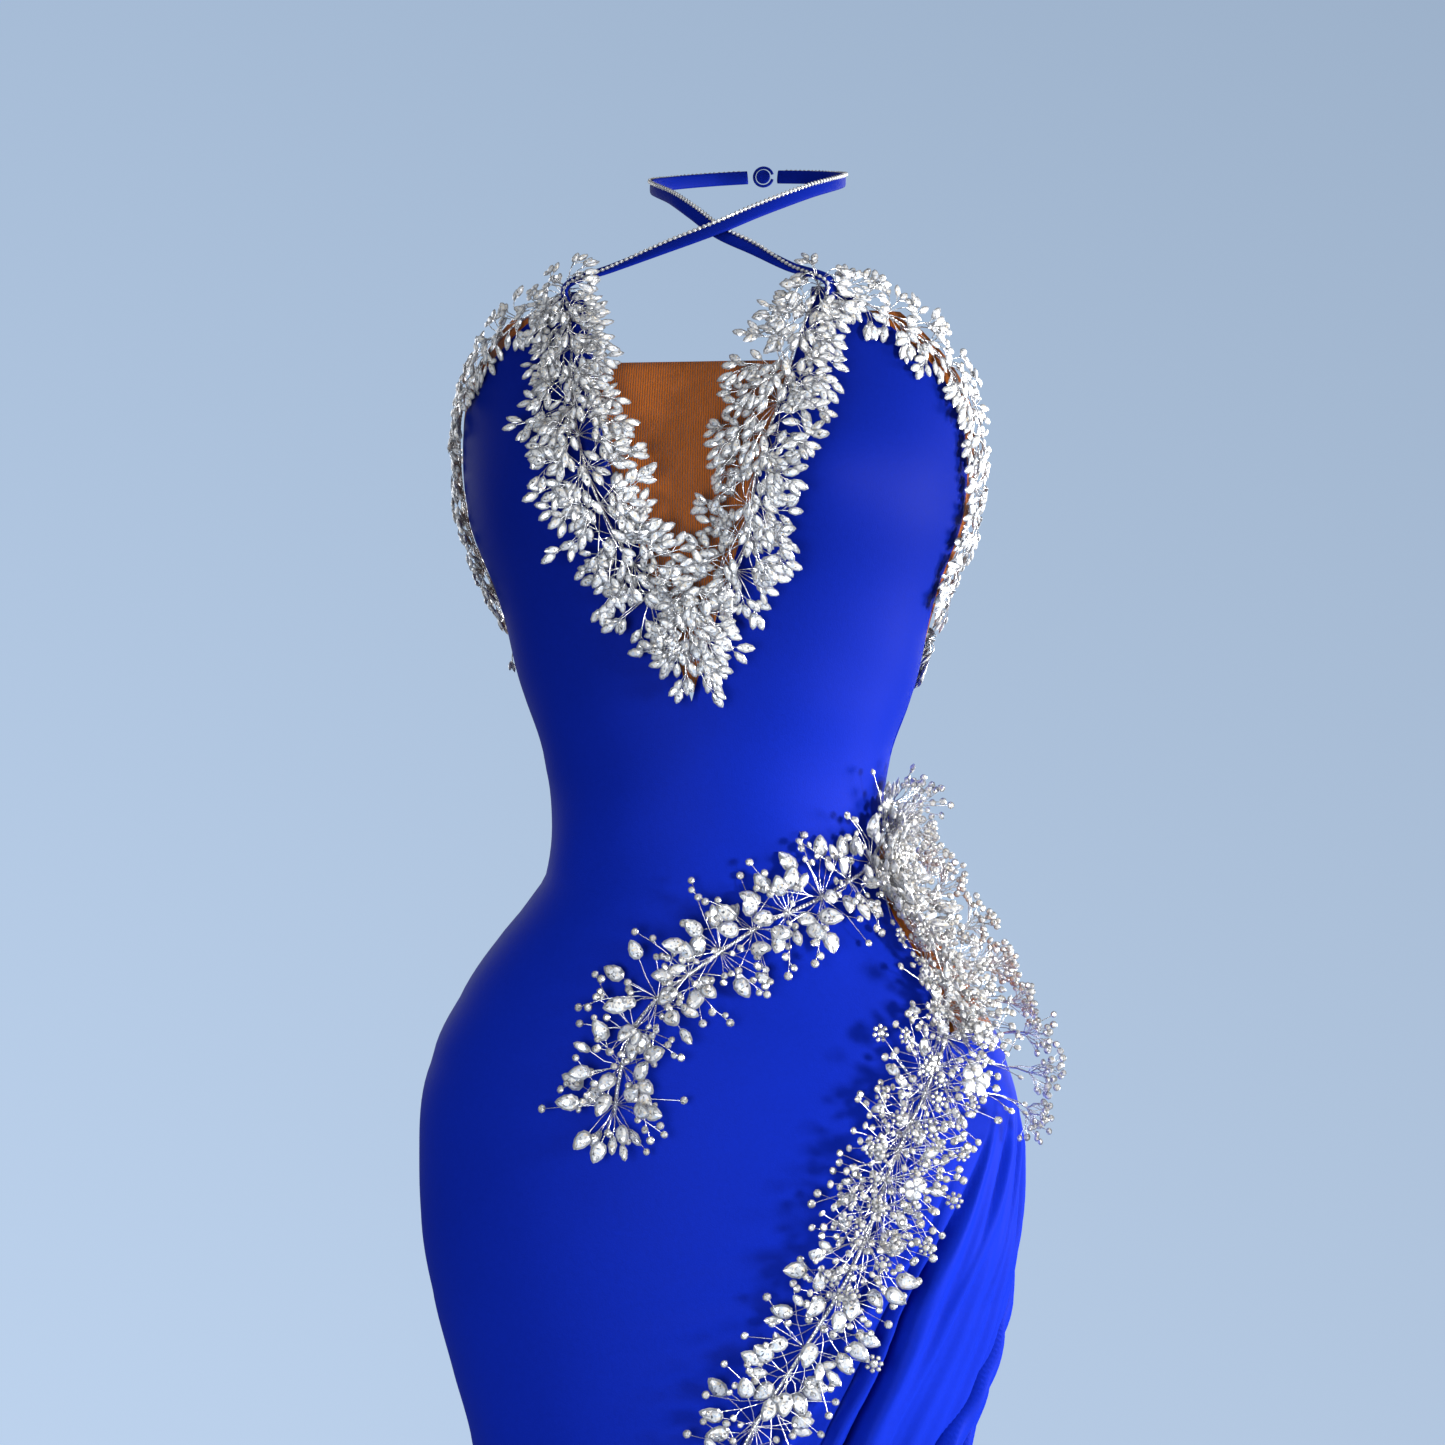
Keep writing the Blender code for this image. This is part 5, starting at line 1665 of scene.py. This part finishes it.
def zip_matrix(distance, lift):
    """The place at a distance down the zip: X across, Y out of the cloth, Z up the zip."""
    up = Vector((0, -ZIP_SLOPE, 1)).normalized()
    out = Vector((0, 1, ZIP_SLOPE)).normalized()
    place = Vector((0, ZIP_TOP_DEPTH, ZIP_TOP_Z)) - up * distance + out * lift
    turn = Matrix((Vector((1, 0, 0)), out, up)).transposed().to_4x4()
    return Matrix.Translation(place) @ turn


def eased_block(work, size, place, bevel):
    """A block with eased edges, added to a bmesh."""
    made = bmesh.ops.create_cube(work, size=1.0)["verts"]
    bmesh.ops.scale(work, vec=size, verts=made)
    edges = list({edge for vert in made for edge in vert.link_edges})
    eased = bmesh.ops.bevel(work, geom=edges, offset=bevel, segments=3, affect="EDGES")
    verts = {vert for face in eased["faces"] for vert in face.verts}
    verts |= {vert for vert in made if vert.is_valid}
    bmesh.ops.transform(work, matrix=place, verts=list(verts))


class GOWN_OT_zip(bpy.types.Operator):
    """Make the concealed zip, its slider and puller, and the hooks and eyes"""
    bl_idname = "gown.zip"
    bl_label = "Zip and Hooks"

    def execute(self, context):
        for side, word in SIDES:
            tape = []
            for z in rows_from(ZIP_TOP_Z - 0.001, ZIP_TOP_Z - ZIP_LENGTH + 0.002, 0.006):
                inner, outer = degrees_for(TAPE_INNER, z), degrees_for(TAPE_OUTER, z)
                angles = spread(180 - outer, 180 - inner, 5)
                tape.append(on_side(side, [(angle, z) for angle in angles]))
            sew_sheet("zip_tape_cloth_" + word, "zip_tape_" + word, [tape], "zip_tape",
                      TAPE_THICKNESS, TAPE_LIFT)
            self.coil(side, word)
        for node in ("zip_top_stop_left", "zip_top_stop_right", "zip_bottom_stop"):
            plate = frame["nodes"][node].data
            plate.materials.clear()
            plate.materials.append(finishes()["nickel"])
        self.slider()
        self.puller()
        for z, lift, word in ((0.0120, -0.0048, "top"), (0.0, -0.0100, "stay")):
            depth = skin(180.0, z, lift).y
            self.hook(Vector((-0.0030, depth, z)), word)
            self.eye(Vector((0.0030, depth, z)), word)
        return {"FINISHED"}

    def coil(self, side, word):
        """One side's nylon coil, a fine spiral that meshes with the other side's."""
        work = Skeleton(1)
        points = []
        per_turn = 8
        length = (ZIP_LENGTH - 0.008) * math.hypot(1.0, ZIP_SLOPE)
        for k in range(int(length / COIL_PITCH * per_turn)):
            turn = 2 * math.pi * (k / per_turn + (0.5 if side > 0 else 0.0))
            local = Vector((side * 0.00045 + 0.00062 * math.cos(turn),
                            -0.0009 + 0.00045 * math.sin(turn), 0.0))
            points.append(zip_matrix(0.004 + k * COIL_PITCH / per_turn, 0.0) @ local)
        work.wire(points, COIL_WIRE)
        ride_on(work.build("zip_coil_spiral_" + word, "coil"), "gown", "zip_coil_" + word)

    def slider(self):
        """The slider's tapered body and the two ears of its pivot."""
        work = bmesh.new()
        eased_block(work, SLIDER_SIZE, Matrix.Identity(4), 0.0009)
        for vert in work.verts:
            vert.co.x *= 0.86 + 0.14 * ease(-0.005, 0.003, vert.co.z)
        for side in (-1, 1):
            offset = Vector((side * EAR_OFFSET.x, SLIDER_SIZE.y / 2 + EAR_OFFSET.y,
                             EAR_OFFSET.z))
            eased_block(work, EAR_SIZE, Matrix.Translation(offset), 0.0003)
        place = zip_matrix(SLIDER_START, SLIDER_LIFT + SLIDER_SIZE.y / 2)
        self.metal_piece("zip_slider_body", work, place, "slider", "zip_slider")

    def puller(self):
        """The puller: a pin between the ears, a neck and a drop-shaped tab."""
        work = bmesh.new()
        bmesh.ops.create_cone(work, cap_ends=True, segments=20, radius1=0.0007, radius2=0.0007,
                              depth=0.0026, matrix=Matrix.Rotation(math.pi / 2, 4, "Y"))
        outline = ((0.0, 0.0009), (-0.006, 0.0008), (-0.010, 0.0013), (-0.0145, 0.0021),
                   (-0.0180, 0.0020), (-0.0196, 0.0012), (-0.0200, 0.0004))
        for y in (-0.00045, 0.00045):
            edge = [work.verts.new((x, y, z)) for z, x in outline]
            edge += [work.verts.new((-x, y, z)) for z, x in reversed(outline)]
            work.faces.new(edge if y < 0 else edge[::-1])
            if y < 0:
                first = edge
        for k in range(len(first)):
            j = (k + 1) % len(first)
            work.faces.new((first[j], first[k], edge[k], edge[j]))
        eased = [item for item in work.edges if item.verts[0] in edge + first
                 and abs(item.verts[0].co.y - item.verts[1].co.y) < 1e-6]
        bmesh.ops.bevel(work, geom=eased, offset=0.00018, segments=2, affect="EDGES")
        bmesh.ops.recalc_face_normals(work, faces=work.faces)
        place = zip_matrix(SLIDER_START, SLIDER_LIFT + SLIDER_SIZE.y / 2)
        rise = Matrix.Translation((0, SLIDER_SIZE.y / 2 + PIVOT_RISE, EAR_OFFSET.z))
        self.metal_piece("zip_puller_tab", work, place @ rise, "puller", "zip_puller")

    def metal_piece(self, name, work, place, body, node):
        """Finish a metal piece of the zip and ride it on its body."""
        bmesh.ops.transform(work, matrix=place, verts=work.verts)
        mesh = finished_mesh(work, name)
        mesh.shade_smooth()
        mesh.set_sharp_from_angle(angle=math.radians(35))
        ride_on(mesh_object(name, mesh, finishes()["nickel"]), body, node)

    def hook(self, place, word):
        """A bent-wire hook with two sewing rings."""
        work = Skeleton(1)
        path = [(-0.0006, 0.0, 0.0014), (0.0006, 0.0, 0.0007), (0.0020, 0.0, 0.0006),
                (0.0023, -0.0003, 0.0), (0.0020, -0.0007, 0.0), (0.0006, -0.0008, 0.0)]
        self.bent_wire(work, place, path, 1)
        self.bent_wire(work, place, path[:4], -1)
        ride_on(work.build(word + "_hook_wire", "nickel"), "gown", word + "_hook")

    def eye(self, place, word):
        """A bent-wire eye with two sewing rings."""
        work = Skeleton(1)
        path = [(0.0006, 0.0, 0.0014), (-0.0006, 0.0, 0.0013), (-0.0015, 0.0, 0.0009),
                (-0.0019, 0.0, 0.0)]
        self.bent_wire(work, place, path, 1)
        self.bent_wire(work, place, path, -1)
        ride_on(work.build(word + "_eye_wire", "nickel"), "gown", word + "_eye")

    def bent_wire(self, work, place, path, hand):
        """One half of a hook or eye: its ring, then its wire."""
        start, behind, height = path[0]
        centre = place + Vector((start + math.copysign(HOOK_RING, start), behind, height * hand))
        work.wire([centre + Vector((math.cos(turn), 0.0, math.sin(turn))) * HOOK_RING
                   for turn in spread(0.0, 2 * math.pi, 16)], HOOK_WIRE)
        line = smooth_path([(x, y, z * hand) for x, y, z in path], 5)
        work.wire([place + point for point in line], HOOK_WIRE)


class GOWN_OT_stitching(bpy.types.Operator):
    """Topstitch the edges of the cut-out, the top of the drape and the slit"""
    bl_idname = "gown.stitching"
    bl_label = "Edge Stitching"

    def execute(self, context):
        rows = [[], [], [], []]
        for z in rows_from(CUTOUT_TOP_Z - 0.006, CUTOUT_LOW_Z + 0.002, 0.004):
            front = smooth_read(CUTOUT_FRONT, z) - STITCH_INSET
            back = smooth_read(CUTOUT_BACK, z) + STITCH_INSET
            rows[0].append(skin(front, z, front_lay(front, z) + THREAD_LIFT))
            rows[1].append(skin(back, z, back_lay(back, z) + THREAD_LIFT))
        for z in rows_from(SLIT_TOP_Z, HEM_Z + 0.010, 0.006):
            angle = front_limit(z) - STITCH_INSET
            rows[2].append(skin(angle, z, front_lay(angle, z) + THREAD_LIFT))
        z = CUTOUT_LOW_Z - 0.0055
        for v in spread(0.02, 0.98, 60):
            low, high = drape_limit(z), smooth_read(CUTOUT_BACK, z)
            angle = low + (high - low) * v
            rows[3].append(skin(angle, z, drape_lay(angle, z, v) + THREAD_LIFT))
        ride_on(stitch_rows("edge_stitches", rows, STITCH_STEP), "gown")
        return {"FINISHED"}


class GOWN_OT_stage(bpy.types.Operator):
    """Set the floor, the soft lights and the camera"""
    bl_idname = "gown.stage"
    bl_label = "Floor, Light and Camera"

    def execute(self, context):
        scene = context.scene
        work = bmesh.new()
        bmesh.ops.create_circle(work, cap_ends=True, segments=96, radius=FLOOR_RADIUS)
        bmesh.ops.translate(work, vec=(0, 0, HEM_Z - FLOOR_GAP), verts=work.verts)
        floor = mesh_object("floor", finished_mesh(work, "floor"), finishes()["floor"])
        for lamp in LAMPS:
            self.light(*lamp)
        world = bpy.data.worlds.new("studio")
        scene.world = world
        scene.view_settings.view_transform = "Standard"
        world.use_nodes = True
        self.paint_world(world.node_tree)
        self.camera(scene)
        return {"FINISHED"}

    def light(self, name, place, size, power, color):
        lamp = bpy.data.lights.new(name, "AREA")
        lamp.shape = "DISK"
        lamp.size = size
        lamp.energy = power
        lamp.color = color
        item = bpy.data.objects.new(name, lamp)
        item.location = place
        away = LAMP_AIM - item.location
        item.rotation_euler = away.to_track_quat("-Z", "Y").to_euler()
        bpy.context.scene.collection.objects.link(item)

    def paint_world(self, tree):
        """A pale backdrop with painted light falloff, darker higher up and towards +X; and darker
        and lighter bands for the stones to reflect.
        """
        back = tree.nodes["Background"]
        toward = make_node(tree, "ShaderNodeTexCoord").outputs["Generated"]
        split = make_node(tree, "ShaderNodeSeparateXYZ", {0: toward})
        # Painted light on the backdrop: darker higher up and towards +X.
        height = math_node(tree, "MULTIPLY_ADD", split.outputs[2], 2.4, 0.5)
        shade = mix_color(tree, height, (0.48, 0.61, 0.80), (0.35, 0.46, 0.62))
        painted_falloff = math_node(tree, "MULTIPLY_ADD", split.outputs[0], -0.36, 0.95)
        painted_falloff = math_node(tree, "MAXIMUM", painted_falloff, 0.88)
        fill(tree, back, Color=shade, Strength=math_node(tree, "MINIMUM", painted_falloff, 1.08))
        bands = noise_node(tree, toward, 4.0, 1.0, 0.4)
        ramp = make_node(tree, "ShaderNodeValToRGB", {"Fac": bands})
        dark, light = ramp.color_ramp.elements
        dark.position, dark.color = 0.44, (0.12, 0.14, 0.18, 1.0)
        light.position, light.color = 0.56, (1.0, 1.0, 1.0, 1.0)
        room = make_node(tree, "ShaderNodeBackground", {"Color": ramp.outputs["Color"],
                                                        "Strength": ROOM_STRENGTH})
        seen = make_node(tree, "ShaderNodeLightPath").outputs["Is Camera Ray"]
        mix = make_node(tree, "ShaderNodeMixShader", {0: seen, 1: room.outputs[0],
                                                      2: back.outputs[0]})
        link(tree, mix.outputs[0], tree.nodes["World Output"].inputs["Surface"])

    def camera(self, scene):
        data = bpy.data.cameras.new("camera")
        data.sensor_width = 36.0
        data.lens = CAMERA_LENS
        item = bpy.data.objects.new("camera", data)
        away = Vector((math.sin(CAMERA_TURN), -math.cos(CAMERA_TURN), 0.0))
        item.location = CAMERA_AIM + away * CAMERA_DISTANCE
        item.rotation_euler = (math.pi / 2, 0.0, CAMERA_TURN)
        scene.collection.objects.link(item)
        scene.camera = item


class GOWN_PT_panel(bpy.types.Panel):
    """The gown's tools in the sidebar"""
    bl_label = "Gown"
    bl_idname = "GOWN_PT_panel"
    bl_space_type = "VIEW_3D"
    bl_region_type = "UI"
    bl_category = "Gown"

    def draw(self, context):
        for label in GownSettings.__annotations__:
            self.layout.prop(context.scene.gown_settings, label)
        for operator in OPERATORS:
            self.layout.operator(operator.bl_idname)


OPERATORS = (GOWN_OT_stage, GOWN_OT_panels, GOWN_OT_insets, GOWN_OT_inside, GOWN_OT_zip,
             GOWN_OT_stitching, GOWN_OT_neckline, GOWN_OT_vine, GOWN_OT_straps)


def register():
    bpy.utils.register_class(GownSettings)
    bpy.types.Scene.gown_settings = bpy.props.PointerProperty(type=GownSettings)
    for operator in OPERATORS:
        bpy.utils.register_class(operator)
    bpy.utils.register_class(GOWN_PT_panel)


def unregister():
    bpy.utils.unregister_class(GOWN_PT_panel)
    for operator in reversed(OPERATORS):
        bpy.utils.unregister_class(operator)
    del bpy.types.Scene.gown_settings
    bpy.utils.unregister_class(GownSettings)


def main():
    register()
    for operator in OPERATORS:
        group, name = operator.bl_idname.split(".")
        getattr(getattr(bpy.ops, group), name)()
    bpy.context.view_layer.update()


if __name__ == "__main__":
    main()
